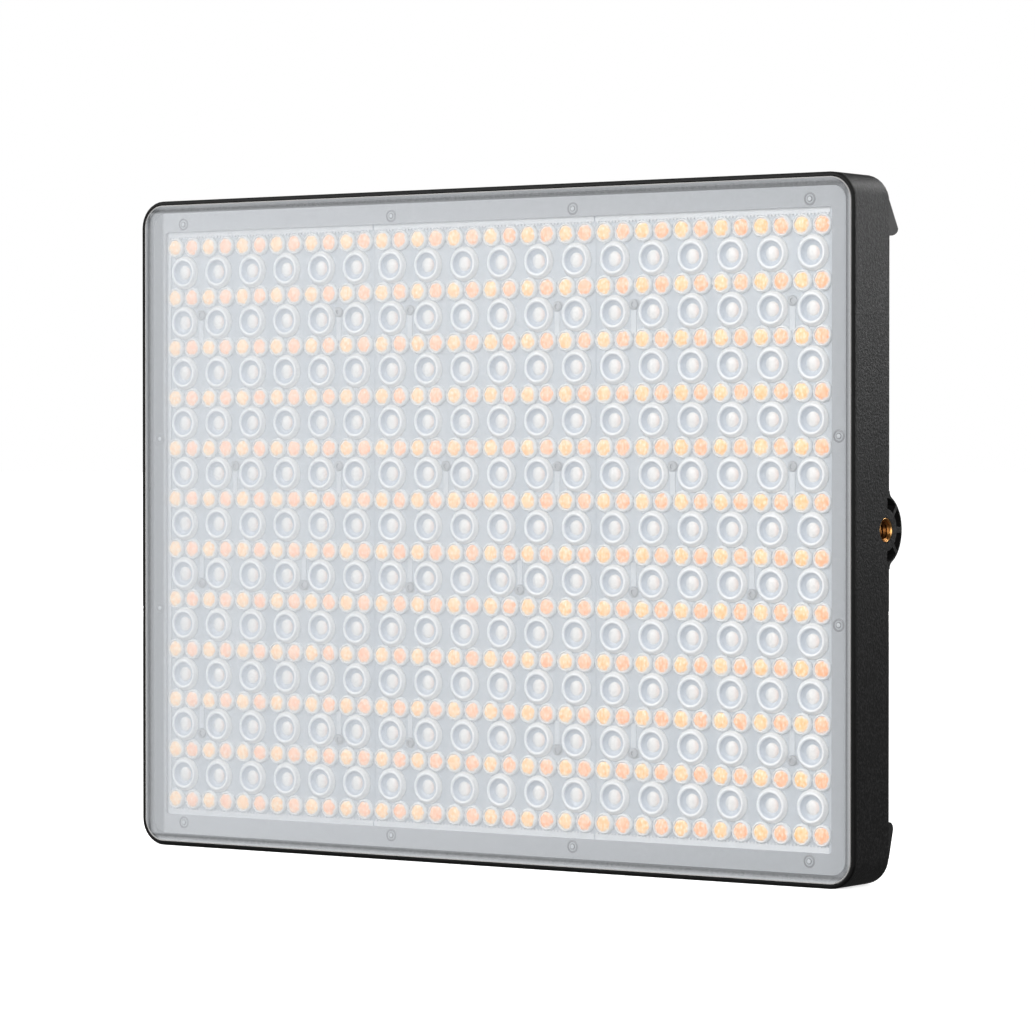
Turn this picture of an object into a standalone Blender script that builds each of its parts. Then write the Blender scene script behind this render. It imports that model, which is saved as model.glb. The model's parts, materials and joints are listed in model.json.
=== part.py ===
"""LED panel light: a shallow black tray with a frosted front, a lens and LED stack inside it, and a raised
electronics bay on its back that carries the controls, two battery plates and the sockets.

Lengths are in metres. X runs to the right seen from the front, Y from the front to the back, Z up.
The panel stands upright on its bottom wall. Each piece is modelled in panel coordinates: x, depth
behind the front rim and height above the panel's middle.
"""

import math

import bmesh
import bpy
from mathutils import Matrix, Vector

MM = 0.001

# Whole panel
PANEL_WIDTH = 263 * MM
PANEL_HEIGHT = 205 * MM
PANEL_DEPTH = 38.7 * MM
TRAY_DEPTH = 20 * MM
CORNER_RADIUS = 8.4 * MM
GAP = 0.3 * MM
FINE_GAP = 0.15 * MM
CORNER_STEPS = 8
ROUND_STEPS = 20
SMALL_STEPS = 12
SMOOTH_ANGLE = math.radians(35)

# Tray: rim, ledge and walls
RIM_WIDTH = 1.15 * MM
RIM_EDGE = 0.7 * MM
EDGE_MIDDLE = 0.3
LEDGE_WIDTH = 3.55 * MM
LEDGE_DEPTH = 2.1 * MM
LEDGE_THICKNESS = 1.3 * MM
WALL = 2 * MM
BACK_EDGE = 0.4 * MM
BAY_OPENING = (168 * MM, 140 * MM, 8 * MM)
STANDOFF_PLACES = [(sx * 118 * MM, sz * 82 * MM) for sx in (-1, 1) for sz in (-1, 1)]
STANDOFF_RADIUS = 3 * MM

# Tripod-thread bosses in the left, right and bottom walls
BOSS_RADIUS = 10.35 * MM
BOSS_CENTRE = 16.7 * MM
BOSS_FILLET = 2.2 * MM
BOSS_STEPS = 20
BOSS_FRONT = 11.2 * MM
BOSS_LENGTH = 14 * MM
THREAD_DEPTH_PLACE = 17.85 * MM
INSERT_RADIUS = 3.5 * MM
INSERT_BORE = 2.6 * MM
INSERT_MOUTH = 3.15 * MM
INSERT_LENGTH = 11 * MM
POCKET_INNER = 6.2 * MM
POCKET_OUTER = 9.8 * MM
POCKET_REACH = 9.2 * MM
POCKET_LENGTH = 5 * MM
POCKET_SPANS = (((8, 39), (5, 39)), ((51, 83), (46, 79)))
POCKET_ARC_STEPS = 3

# Corner feet on the back of the tray, beside its left and right edges
FOOT_WIDTH = 6 * MM
FOOT_INSET = 0.4 * MM
FOOT_START = 7.6 * MM
FOOT_ROOT = 0.1
FOOT_TOP = (5.2 * MM, 15.5 * MM, 17.7 * MM)
FOOT_BOTTOM = (2.7 * MM, 16 * MM, 18.2 * MM)
FOOT_TIP_STEPS = 5

# Vent slots
SLOT_WIDTH = 1.8 * MM
TOP_VENT_COUNT = 14
TOP_VENT_PITCH = 9.6 * MM
TOP_VENT_LENGTH = 6.4 * MM
TOP_VENT_DEPTH = 13.5 * MM
BACK_VENT_COUNT = 16
BACK_VENT_PITCH = 10 * MM
BACK_VENT_LENGTH = 7 * MM
BACK_VENT_HEIGHT = 92 * MM
SLOT_END_STEPS = 2

# Diffuser, gasket and reflector frame
DIFFUSER_THICKNESS = 1.3 * MM
DIFFUSER_GAP = 0.2 * MM
DIFFUSER_EDGE = 0.35 * MM
DIFFUSER_LIP = 1.3 * MM
DIFFUSER_LIP_HEIGHT = 0.15 * MM
GASKET_FRONT = 1.45 * MM
GASKET_BACK = 1.95 * MM
GASKET_WIDTH = 2.0 * MM
REFLECTOR_FRONT = 1.6 * MM
REFLECTOR_BACK = 2.8 * MM
REFLECTOR_CORNER = 4.4 * MM
POST_RADIUS = 1.5 * MM
POST_PLACES = (
    [(sx * 115.6 * MM, sz * 95 * MM) for sx in (-1, 1) for sz in (-1, 1)]
    + [(sx * 33.6 * MM, sz * 95 * MM) for sx in (-1, 1) for sz in (-1, 1)]
    + [(sx * 125.3 * MM, sz * 27 * MM) for sx in (-1, 1) for sz in (-1, 1)]
)

# Lens panels and LED boards: three side by side
LENS_PITCH_X = 13.647 * MM
LENS_PITCH_Z = 15.937 * MM
LENS_COLUMNS = 6
LENS_ROWS = 11
LENS_PANEL_WIDTH = LENS_COLUMNS * LENS_PITCH_X
LENS_PANEL_HEIGHT = LENS_ROWS * LENS_PITCH_Z + 9.3 * MM
LENS_FRONT = 1.6 * MM
LENS_FACE = 1.8 * MM
LENS_BACK = 6.4 * MM
LENS_SKIRT = 1.6 * MM
BOARD_FRONT = 6.7 * MM
BOARD_CORNER = 0.8 * MM
BOARD_BACK = 8.2 * MM
PANEL_SIDES = {"left": -1, "centre": 0, "right": 1}

# Heat sink
SINK_WIDTH = 256 * MM
SINK_HEIGHT = 197 * MM
SINK_FRONT = 8.5 * MM
SINK_BASE_BACK = 10.5 * MM
FIN_BACK = 16.2 * MM
FIN_COUNT = 18
FIN_PITCH = 12 * MM
FIN_THICKNESS = 1.3 * MM
FIN_HEIGHT = 166 * MM
CABLE_SLOT = (8 * MM, 12 * MM)
CABLE_HEIGHT = -25 * MM

# Electronics bay
BAY_WIDTH = 200 * MM
BAY_HEIGHT = 168 * MM
BAY_RADIUS = 14 * MM
BAY_FACE = 30 * MM
BAY_WALL = 2.5 * MM
BAY_ROOF = 2.3 * MM
BAY_CHAMFER = 3.5 * MM
BAY_CHAMFER_MIDDLE = 1.2 * MM
SCREW_PLACES = [(sx * 90 * MM, sz * 75 * MM) for sx in (-1, 1) for sz in (-1, 1)]
SCREW_PLACES += [(sx * 90 * MM, 5 * MM) for sx in (-1, 1)]
SCREW_PLACES += [(sx * 20 * MM, -76 * MM) for sx in (-1, 1)]
SCREW_POST_RADIUS = 4.2 * MM
SCREW_HEAD_RADIUS = 2.8 * MM
SCREW_HEAD_HEIGHT = 1.7 * MM
SCREW_BEVEL = 0.34 * MM
SCREW_SHANK_RADIUS = 1.4 * MM
SCREW_TIP_RADIUS = 0.84 * MM
SCREW_TIP = 17.2 * MM
SCREW_SOCKET_RADIUS = 1.3 * MM
SCREW_SOCKET_DEPTH = 0.9 * MM
SCREW_WELL_RADIUS = 3.2 * MM
SCREW_WELL_DEPTH = 2.3 * MM
SCREW_HOLE_RADIUS = 1.7 * MM
BAY_VENT_PLACES = [(sx * (8 + 7 * step) * MM, -62 * MM) for sx in (-1, 1) for step in range(3)]
BAY_VENT_LENGTH = 12 * MM
BAY_SIDE_VENT_COUNT = 9
BAY_SIDE_VENT_PITCH = 11 * MM
BAY_SIDE_VENT_LENGTH = 7.7 * MM

# Control bezel, display, buttons
BEZEL = (160 * MM, 49 * MM, 4 * MM)
BEZEL_HEIGHT = 51.5 * MM
BEZEL_THICKNESS = 1.2 * MM
BEZEL_LEDGE = 3 * MM
WINDOW = (52 * MM, 27 * MM, 2 * MM)
WINDOW_HEIGHT = 56.5 * MM
DISPLAY = (56 * MM, 31 * MM, 2 * MM)
DISPLAY_FRONT = 25.3 * MM
DISPLAY_BACK = 28.4 * MM
BUTTON = (11 * MM, 5 * MM, 1.2 * MM)
BUTTON_FLANGE = (12.6 * MM, 6.4 * MM, 1.4 * MM)
BUTTON_HEIGHT = 34.6 * MM
BUTTON_PITCH = 15 * MM
BUTTON_NAMES = ("mode_button", "effect_button", "menu_button", "back_button")
BUTTON_FOOT = 25.5 * MM
BUTTON_TOP = 31 * MM
BUTTON_FLANGE_SPAN = (27.4 * MM, 28.4 * MM)
BUTTON_EDGE = 0.35 * MM
BOARD_THICKNESS = 1.6 * MM
CONTROL_BOARD = (148 * MM, 41 * MM, 2 * MM)
CONTROL_BOARD_FRONT = 22.4 * MM
SWITCH_SIZE = (6 * MM, 4 * MM)
SWITCH_BACK = 24.9 * MM

# Rotary encoders and knobs
KNOB_PLACE = (58 * MM, 54 * MM)
ENCODER_BODY = (12.6 * MM, 13 * MM, 0.8 * MM)
ENCODER_FRONT = 24.3 * MM
ENCODER_BODY_BACK = 28.3 * MM
ENCODER_CAVITY_RADIUS = 5 * MM
ENCODER_CAVITY_BACK = 26.8 * MM
BUSHING_RADIUS = 3.5 * MM
BUSHING_BACK = 30.2 * MM
BUSHING_HOLE = 3.9 * MM
SHAFT_BORE = 2.5 * MM
SHAFT_RADIUS = 2.4 * MM
SHAFT_FRONT = 25.2 * MM
ROTOR_RADIUS = 4.7 * MM
ROTOR_BORE = 2.6 * MM
ROTOR_SPAN = (24.5 * MM, 26.5 * MM)
KNOB_RADIUS = 11 * MM
KNOB_FRONT = 30.9 * MM
KNOB_EDGE = 0.9 * MM
KNOB_DRAFT = 0.27 * MM
KNOB_DISH = 0.6 * MM
KNOB_STEPS = 24

# Battery plates, terminals, latches and springs
PLATE = (42 * MM, 80 * MM, 2.5 * MM)
PLATE_X = 56 * MM
PLATE_HEIGHT = -30 * MM
PLATE_FRONT = 30.3 * MM
PLATE_FACE = 33.2 * MM
RAIL_WIDTH = 2.2 * MM
RAIL_BACK = 37.6 * MM
LIP_REACH = 2.2 * MM
LIP_THICKNESS = 1.4 * MM
LIP_LENGTH = 9 * MM
LIP_PLACES = (-26 * MM, 22 * MM)
LATCH_SLOT = (10 * MM, 20 * MM)
LATCH_SLOT_MIDDLE = -27 * MM
LATCH_BODY = (9.4 * MM, 11.4 * MM)
LATCH_MIDDLE = -23.2 * MM
LATCH_SPAN = (30.6 * MM, 33.2 * MM)
LATCH_TOOTH_HEIGHT = 2.2 * MM
TERMINAL = (15 * MM, 6 * MM)
TERMINAL_MIDDLE = 33 * MM
TERMINAL_BACK = 37 * MM
TERMINAL_TAIL = (9 * MM, 3 * MM)
TERMINAL_TAIL_FRONT = 26.6 * MM
BLADE_WIDTH = 0.9 * MM
BLADE_LENGTH = 4.5 * MM
BLADE_PITCH = 4.2 * MM
BLADE_SPAN = (34.2 * MM, 36.2 * MM)
SPRING_RADIUS = 1.0 * MM
SPRING_WIRE = 0.22 * MM
SPRING_TURNS = 6
SPRING_STEPS = 8
SPRING_SPAN = (-36.5 * MM, -29.4 * MM)
SPRING_DEPTH = 31.9 * MM

# Sockets and power switch in the column between the battery plates
SWITCH_PLACE_HEIGHT = 4 * MM
SWITCH_FLANGE = (21.5 * MM, 15.5 * MM, 1.5 * MM)
SWITCH_FLANGE_SPAN = (30.3 * MM, 31.9 * MM)
SWITCH_BODY = (18.8 * MM, 12.8 * MM, 1 * MM)
SWITCH_FRONT = 23 * MM
SWITCH_CAVITY = (16.8 * MM, 10.6 * MM, 0.6 * MM)
SWITCH_CAVITY_FRONT = 24.6 * MM
ROCKER_HALF_LENGTH = 7.6 * MM
ROCKER_HALF_HEIGHT = 5 * MM
ROCKER_PIVOT = 28.6 * MM
ROCKER_BELLY = 3.4 * MM
ROCKER_VALLEY = 2.5 * MM
ROCKER_END = 3.8 * MM
ROCKER_TILT = 8
JACK_PLACE_HEIGHT = -24 * MM
JACK_FLANGE_RADIUS = 6.5 * MM
JACK_BODY_RADIUS = 5 * MM
JACK_SOCKET_RADIUS = 3.2 * MM
JACK_PIN_RADIUS = 1.25 * MM
JACK_FRONT = 21 * MM
JACK_FLOOR = 22.5 * MM
JACK_BACK = 31.8 * MM
JACK_PIN_BACK = 30 * MM
USB_PLACE_HEIGHT = -43 * MM
USB_SHELL = (8.94 * MM, 3.26 * MM)
USB_CAVITY = (8.34 * MM, 2.56 * MM)
USB_TONGUE = (6.7 * MM, 0.7 * MM)
USB_FRONT = 22.6 * MM
USB_FLOOR = 23.6 * MM
USB_TONGUE_BACK = 28.4 * MM
USB_BACK = 29.8 * MM

# Driver board and wiring
DRIVER_BOARD = (150 * MM, 62 * MM, 2 * MM)
DRIVER_HEIGHT = -38 * MM
DRIVER_FRONT = 19.2 * MM
DRIVER_BLOCKS = (
    ((-58 * MM, -50 * MM), (18 * MM, 18 * MM), 6 * MM),
    ((-30 * MM, -52 * MM), (14 * MM, 22 * MM), 5 * MM),
    ((34 * MM, -50 * MM), (20 * MM, 16 * MM), 6 * MM),
    ((60 * MM, -46 * MM), (12 * MM, 12 * MM), 5.5 * MM),
    ((-44 * MM, -14 * MM), (10 * MM, 6 * MM), 4 * MM),
    ((44 * MM, -14 * MM), (10 * MM, 6 * MM), 4 * MM),
)
CAPACITOR_PLACES = [(-8 * MM + 8 * step * MM, -60 * MM) for step in range(3)]
CAPACITOR_RADIUS = 3.2 * MM
CAPACITOR_HEIGHT = 6 * MM
WIRE_RADIUS = 1.1 * MM
LEAD_END = (44 * MM, -10.6 * MM)
LEAD_STEP = 1.2 * MM
HARNESS_RADIUS = 1.5 * MM
WIRE_STEPS = 10

COLOURS = {
    "black_plastic": ((0.022, 0.022, 0.023, 1), 0.55, 0.0),
    "dark_plastic": ((0.016, 0.016, 0.017, 1), 0.4, 0.0),
    "frosted": ((0.82, 0.84, 0.88, 1), 0.35, 0.0),
    "foam": ((0.02, 0.02, 0.02, 1), 0.9, 0.0),
    "white_plastic": ((0.7, 0.72, 0.74, 1), 0.45, 0.0),
    "lens": ((0.75, 0.8, 0.88, 1), 0.12, 0.0),
    "white_board": ((0.8, 0.8, 0.78, 1), 0.4, 0.0),
    "green_board": ((0.02, 0.12, 0.05, 1), 0.4, 0.0),
    "aluminium": ((0.75, 0.76, 0.78, 1), 0.35, 1.0),
    "brass": ((0.75, 0.45, 0.13, 1), 0.25, 1.0),
    "steel": ((0.5, 0.5, 0.52, 1), 0.3, 1.0),
    "black_steel": ((0.04, 0.04, 0.045, 1), 0.35, 1.0),
    "glass": ((0.01, 0.012, 0.015, 1), 0.05, 0.0),
    "rubber": ((0.03, 0.03, 0.032, 1), 0.7, 0.0),
    "wire": ((0.35, 0.02, 0.02, 1), 0.5, 0.0),
}

PANEL_FRAME = None


def clear_scene():
    for existing in list(bpy.data.objects):
        bpy.data.objects.remove(existing, do_unlink=True)


def make_panel_frame():
    """Empty at the middle of the front rim: panel coordinates are measured from it."""
    frame = bpy.data.objects.new("panel_frame", None)
    frame.location = (0, -PANEL_DEPTH / 2, PANEL_HEIGHT / 2)
    bpy.context.scene.collection.objects.link(frame)
    return frame


def material(name):
    """Principled material with the colour, roughness and metallic value kept under its name."""
    found = bpy.data.materials.get(name)
    if found:
        return found
    colour, roughness, metallic = COLOURS[name]
    made = bpy.data.materials.new(name)
    made.use_nodes = True
    shader = made.node_tree.nodes["Principled BSDF"]
    shader.inputs["Base Color"].default_value = colour
    shader.inputs["Roughness"].default_value = roughness
    shader.inputs["Metallic"].default_value = metallic
    made.diffuse_color = colour
    return made


def rounded_outline(width, height, radius, steps=CORNER_STEPS):
    """Rounded rectangle about the origin, anticlockwise from its lower right corner."""
    points = []
    for side_a, side_b, start in ((1, -1, 270), (1, 1, 0), (-1, 1, 90), (-1, -1, 180)):
        centre_a = side_a * (width / 2 - radius)
        centre_b = side_b * (height / 2 - radius)
        points += arc(centre_a, centre_b, radius, start, start + 90, steps)
    return points


def arc(centre_a, centre_b, radius, start, end, steps):
    """Points of an arc, angles in degrees."""
    points = []
    for step in range(steps + 1):
        angle = math.radians(start + (end - start) * step / steps)
        points.append((centre_a + radius * math.cos(angle), centre_b + radius * math.sin(angle)))
    return points


def circle(radius, steps=ROUND_STEPS, centre=(0, 0)):
    points = arc(centre[0], centre[1], radius, 0, 360, steps)
    return points[:-1]


def rectangle(width, height, centre=(0, 0)):
    corners = ((1, -1), (1, 1), (-1, 1), (-1, -1))
    return [(centre[0] + a * width / 2, centre[1] + b * height / 2) for a, b in corners]


def slot(length, width, centre=(0, 0), upright=False):
    """Slot with round ends."""
    reach = (length - width) / 2
    points = arc(reach, 0, width / 2, -90, 90, SLOT_END_STEPS)
    points += arc(-reach, 0, width / 2, 90, 270, SLOT_END_STEPS)
    if upright:
        points = [(-b, a) for a, b in points]
    return shifted(points, centre)


def shifted(outline, centre):
    return [(a + centre[0], b + centre[1]) for a, b in outline]


def placed(a, b, along, axis):
    """Point of an outline in the plane across an axis."""
    if axis == "X":
        return Vector((along, a, b))
    if axis == "Y":
        return Vector((a, along, b))
    return Vector((a, b, along))


def loft(mesh, rings, closed=False):
    """Skin over rings of equal length: capped at both ends, or closed into a frame."""
    loops = [[mesh.verts.new(point) for point in ring] for ring in rings]
    pairs = list(zip(loops, loops[1:]))
    if closed:
        pairs.append((loops[-1], loops[0]))
    faces = []
    for first, second in pairs:
        for index, corner in enumerate(first):
            follow = (index + 1) % len(first)
            faces.append(mesh.faces.new((corner, first[follow], second[follow], second[index])))
    if not closed:
        faces.append(mesh.faces.new(loops[0]))
        faces.append(mesh.faces.new(reversed(loops[-1])))
    bmesh.ops.recalc_face_normals(mesh, faces=faces)


def prism(mesh, outline, low, high, axis="Y"):
    """Closed prism over an outline."""
    loft(mesh, [[placed(a, b, along, axis) for a, b in outline] for along in (low, high)])


def box(mesh, centre, size):
    """Box given by its middle and its size in x, depth and height."""
    outline = rectangle(size[0], size[2], (centre[0], centre[2]))
    prism(mesh, outline, centre[1] - size[1] / 2, centre[1] + size[1] / 2)


def turned(mesh, profile, steps=ROUND_STEPS, closed=False):
    """Body turned about the Y axis from (radius, depth) pairs; closed makes a ring with a hole."""
    rings = []
    for radius, depth in profile:
        rings.append([Vector((a, depth, b)) for a, b in circle(radius, steps)])
    loft(mesh, rings, closed)


def finish_mesh(name, mesh):
    data = bpy.data.meshes.new(name)
    mesh.to_mesh(data)
    mesh.free()
    data.shade_smooth()
    data.set_sharp_from_angle(angle=SMOOTH_ANGLE)
    return data


def add_object(name, mesh, material_name=None, place=(0, 0, 0)):
    """Object under the panel frame, with its origin at a place in panel coordinates."""
    if any(place):
        bmesh.ops.translate(mesh, verts=mesh.verts, vec=-Vector(place))
    made = bpy.data.objects.new(name, finish_mesh(name, mesh))
    made.parent = PANEL_FRAME
    made.location = place
    bpy.context.scene.collection.objects.link(made)
    if material_name:
        made.data.materials.append(material(material_name))
    return made


def combine(target, mesh, operation):
    """Boolean with a hidden operand made from a mesh in panel coordinates."""
    operand = add_object(f"{target.name}_{operation.lower()}_{len(target.modifiers)}", mesh)
    operand.hide_render = True
    operand.display_type = "WIRE"
    modifier = target.modifiers.new(operation.title(), "BOOLEAN")
    modifier.operation = operation
    modifier.solver = "EXACT"
    modifier.object = operand


def cut(target, mesh):
    combine(target, mesh, "DIFFERENCE")


def fuse(target, mesh):
    combine(target, mesh, "UNION")


def inset_ring(inset, depth):
    """Outline of the tray, drawn in by an inset, at a depth."""
    outline = rounded_outline(PANEL_WIDTH - 2 * inset, PANEL_HEIGHT - 2 * inset, CORNER_RADIUS - inset)
    return [Vector((a, depth, b)) for a, b in outline]


def sized_ring(size, depth, centre=(0, 0)):
    """Rounded rectangle of (width, height, radius) at a depth."""
    return [Vector((a, depth, b)) for a, b in shifted(rounded_outline(*size), centre)]


# Tray ----------------------------------------------------------------------------------------------------


def boss_outline():
    """Outline of a thread boss in (depth, across): a round back blended into the tray's back face."""
    rise = TRAY_DEPTH + BOSS_FILLET - BOSS_CENTRE
    reach = math.sqrt((BOSS_RADIUS + BOSS_FILLET) ** 2 - rise**2)
    lean = math.degrees(math.atan2(reach, rise))
    front = BOSS_FRONT
    inner = TRAY_DEPTH - WALL / 2
    fillet_high = arc(TRAY_DEPTH + BOSS_FILLET, reach, BOSS_FILLET, 180, 180 + lean, 3)
    fillet_low = arc(TRAY_DEPTH + BOSS_FILLET, -reach, BOSS_FILLET, 180 - lean, 180, 3)
    back = arc(BOSS_CENTRE, 0, BOSS_RADIUS, lean, -lean, BOSS_STEPS)
    half = BOSS_RADIUS
    high = [(front, -half), (front, half), (inner, half), (inner, reach)]
    low = [(inner, -reach), (inner, -half)]
    return high + fillet_high + back[1:-1] + fillet_low + low


def pocket_outlines():
    """Four pockets round a thread, as (depth, across), between an arc of the boss and one of the thread."""
    outlines = []
    for (inner_start, inner_end), (outer_start, outer_end) in POCKET_SPANS:
        outer = arc(BOSS_CENTRE, 0, POCKET_OUTER, outer_start, outer_end, POCKET_ARC_STEPS)
        outer = [(depth, min(across, POCKET_REACH)) for depth, across in outer]
        inner = arc(THREAD_DEPTH_PLACE, 0, POCKET_INNER, inner_end, inner_start, POCKET_ARC_STEPS)
        outline = outer + inner
        outlines.append(outline)
        outlines.append([(depth, -across) for depth, across in reversed(outline)])
    return outlines


def swapped(outline):
    return [(b, a) for a, b in outline]


def housing():
    """Tray with a front rim, a ledge for the diffuser, four walls and a back wall open towards the bay."""
    mesh = bmesh.new()
    ledge_back = LEDGE_DEPTH + LEDGE_THICKNESS
    rings = [
        inset_ring(RIM_EDGE, 0),
        inset_ring(RIM_EDGE * EDGE_MIDDLE, RIM_EDGE * EDGE_MIDDLE),
        inset_ring(0, RIM_EDGE),
        inset_ring(0, TRAY_DEPTH - BACK_EDGE),
        inset_ring(BACK_EDGE * EDGE_MIDDLE, TRAY_DEPTH - BACK_EDGE * EDGE_MIDDLE),
        inset_ring(BACK_EDGE, TRAY_DEPTH),
        sized_ring(BAY_OPENING, TRAY_DEPTH),
        sized_ring(BAY_OPENING, TRAY_DEPTH - WALL),
        inset_ring(WALL, TRAY_DEPTH - WALL),
        inset_ring(WALL, ledge_back),
        inset_ring(LEDGE_WIDTH, ledge_back),
        inset_ring(LEDGE_WIDTH, LEDGE_DEPTH),
        inset_ring(RIM_WIDTH, LEDGE_DEPTH),
        inset_ring(RIM_WIDTH, 0),
    ]
    loft(mesh, rings, closed=True)
    tray = add_object("housing", mesh, "black_plastic")
    fuse(tray, housing_bosses())
    cut(tray, housing_holes())


def housing_bosses():
    """Thread bosses in three walls, and the standoffs that carry the heat sink."""
    mesh = bmesh.new()
    outline = boss_outline()
    half_width = PANEL_WIDTH / 2
    half_height = PANEL_HEIGHT / 2
    prism(mesh, outline, half_width - BOSS_LENGTH, half_width, "X")
    prism(mesh, outline, -half_width, BOSS_LENGTH - half_width, "X")
    prism(mesh, swapped(outline), -half_height, BOSS_LENGTH - half_height, "Z")
    for place in STANDOFF_PLACES:
        post = circle(STANDOFF_RADIUS, SMALL_STEPS, place)
        prism(mesh, post, SINK_BASE_BACK + GAP, TRAY_DEPTH - WALL / 2)
    return mesh


def housing_holes():
    """Thread sockets, boss pockets, vent slots and screw holes."""
    mesh = bmesh.new()
    socket = circle(INSERT_RADIUS + FINE_GAP, ROUND_STEPS, (THREAD_DEPTH_PLACE, 0))
    holes = [(socket, INSERT_LENGTH + GAP)]
    holes += [(outline, POCKET_LENGTH) for outline in pocket_outlines()]
    outside = 1 * MM
    for outline, length in holes:
        side = PANEL_WIDTH / 2
        prism(mesh, outline, side - length, side + outside, "X")
        prism(mesh, outline, -side - outside, length - side, "X")
        floor = PANEL_HEIGHT / 2
        prism(mesh, swapped(outline), -floor - outside, length - floor, "Z")
    for index in range(TOP_VENT_COUNT):
        across = (index - (TOP_VENT_COUNT - 1) / 2) * TOP_VENT_PITCH
        vent = slot(TOP_VENT_LENGTH, SLOT_WIDTH, (across, TOP_VENT_DEPTH))
        prism(mesh, vent, PANEL_HEIGHT / 2 - 2 * WALL, PANEL_HEIGHT / 2 + outside, "Z")
    for index in range(BACK_VENT_COUNT):
        across = (index - (BACK_VENT_COUNT - 1) / 2) * BACK_VENT_PITCH
        vent = slot(BACK_VENT_LENGTH, SLOT_WIDTH, (across, BACK_VENT_HEIGHT))
        prism(mesh, vent, TRAY_DEPTH - 2 * WALL, TRAY_DEPTH + outside)
    for place in SCREW_PLACES:
        hole = circle(SCREW_HOLE_RADIUS, SMALL_STEPS, place)
        prism(mesh, hole, TRAY_DEPTH - 2 * WALL, TRAY_DEPTH + outside)
    return mesh


def threaded_insert(name, place, turn):
    """Brass tripod-thread insert with a countersunk mouth; its mouth faces +Y before it is turned."""
    mesh = bmesh.new()
    lead = INSERT_MOUTH - INSERT_BORE
    profile = [
        (INSERT_RADIUS - FINE_GAP, 0),
        (INSERT_RADIUS, -FINE_GAP),
        (INSERT_RADIUS, -INSERT_LENGTH),
        (INSERT_BORE, -INSERT_LENGTH),
        (INSERT_BORE, -lead),
        (INSERT_MOUTH, 0),
    ]
    turned(mesh, profile, ROUND_STEPS, closed=True)
    bmesh.ops.rotate(mesh, verts=mesh.verts, matrix=turn)
    bmesh.ops.translate(mesh, verts=mesh.verts, vec=Vector(place))
    add_object(name, mesh, "brass", place)


def threaded_inserts():
    side = PANEL_WIDTH / 2
    floor = PANEL_HEIGHT / 2
    for side_name, across, height, angle, axis in (
        ("left", -side, 0, 90, "Z"),
        ("right", side, 0, -90, "Z"),
        ("bottom", 0, -floor, -90, "X"),
    ):
        turn = Matrix.Rotation(math.radians(angle), 3, axis)
        threaded_insert(f"threaded_insert_{side_name}", (across, THREAD_DEPTH_PLACE, height), turn)


def corner_foot(name, side_x, side_z, shape):
    """Ramped foot: it grows towards the middle of the edge and ends in a rounded tip."""
    rise, tip, end = shape
    seat = TRAY_DEPTH + GAP
    edge = PANEL_HEIGHT / 2
    outline = [(seat, edge - FOOT_START), (seat + FINE_GAP, edge - FOOT_START)]
    for step in range(FOOT_TIP_STEPS + 1):
        angle = math.radians(90 * step / FOOT_TIP_STEPS)
        depth = seat + rise * (FOOT_ROOT + (1 - FOOT_ROOT) * math.cos(angle))
        height = tip + (end - tip) * math.sin(angle)
        outline.append((depth, edge - height))
    outline.append((seat, edge - end))
    outline = [(depth, side_z * height) for depth, height in outline]
    outer = side_x * (PANEL_WIDTH / 2 - FOOT_INSET)
    mesh = bmesh.new()
    prism(mesh, outline, outer - side_x * FOOT_WIDTH, outer, "X")
    add_object(name, mesh, "dark_plastic")


def corner_feet():
    for side_name, side_x in (("left", -1), ("right", 1)):
        corner_foot(f"corner_foot_top_{side_name}", side_x, 1, FOOT_TOP)
        corner_foot(f"corner_foot_bottom_{side_name}", side_x, -1, FOOT_BOTTOM)


# Optics and light source ---------------------------------------------------------------------------------


def front_diffuser():
    """Frosted sheet, flush with the rim, with a fine raised lip around its edge."""
    edge = RIM_WIDTH + DIFFUSER_GAP
    mesh = bmesh.new()
    rings = [
        inset_ring(edge, DIFFUSER_THICKNESS),
        inset_ring(edge, DIFFUSER_EDGE),
        inset_ring(edge + DIFFUSER_EDGE, 0),
        inset_ring(edge + DIFFUSER_LIP, 0),
        inset_ring(edge + DIFFUSER_LIP + DIFFUSER_LIP_HEIGHT, DIFFUSER_LIP_HEIGHT),
    ]
    loft(mesh, rings)
    add_object("front_diffuser", mesh, "frosted")


def diffuser_gasket():
    """Thin foam ring that seals the diffuser to the ledge."""
    mesh = bmesh.new()
    outer = RIM_WIDTH + GAP
    inner = outer + GASKET_WIDTH
    rings = [
        inset_ring(outer, GASKET_FRONT),
        inset_ring(outer, GASKET_BACK),
        inset_ring(inner, GASKET_BACK),
        inset_ring(inner, GASKET_FRONT),
    ]
    loft(mesh, rings, closed=True)
    add_object("diffuser_gasket", mesh, "foam")


def reflector_frame():
    """White frame around the three lens panels, standing on posts that reach the heat sink."""
    mesh = bmesh.new()
    outer = (
        PANEL_WIDTH - 2 * LEDGE_WIDTH - 2 * GAP,
        PANEL_HEIGHT - 2 * LEDGE_WIDTH - 2 * GAP,
        REFLECTOR_CORNER,
    )
    inner = (3 * LENS_PANEL_WIDTH + GAP, LENS_PANEL_HEIGHT + 2 * GAP, 1 * MM)
    rings = [
        sized_ring(outer, REFLECTOR_FRONT),
        sized_ring(outer, REFLECTOR_BACK),
        sized_ring(inner, REFLECTOR_BACK),
        sized_ring(inner, REFLECTOR_FRONT),
    ]
    loft(mesh, rings, closed=True)
    frame = add_object("reflector_frame", mesh, "white_plastic")
    posts = bmesh.new()
    middle = (REFLECTOR_FRONT + REFLECTOR_BACK) / 2
    for place in POST_PLACES:
        prism(posts, circle(POST_RADIUS, SMALL_STEPS, place), middle, SINK_FRONT - FINE_GAP)
    fuse(frame, posts)


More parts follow.
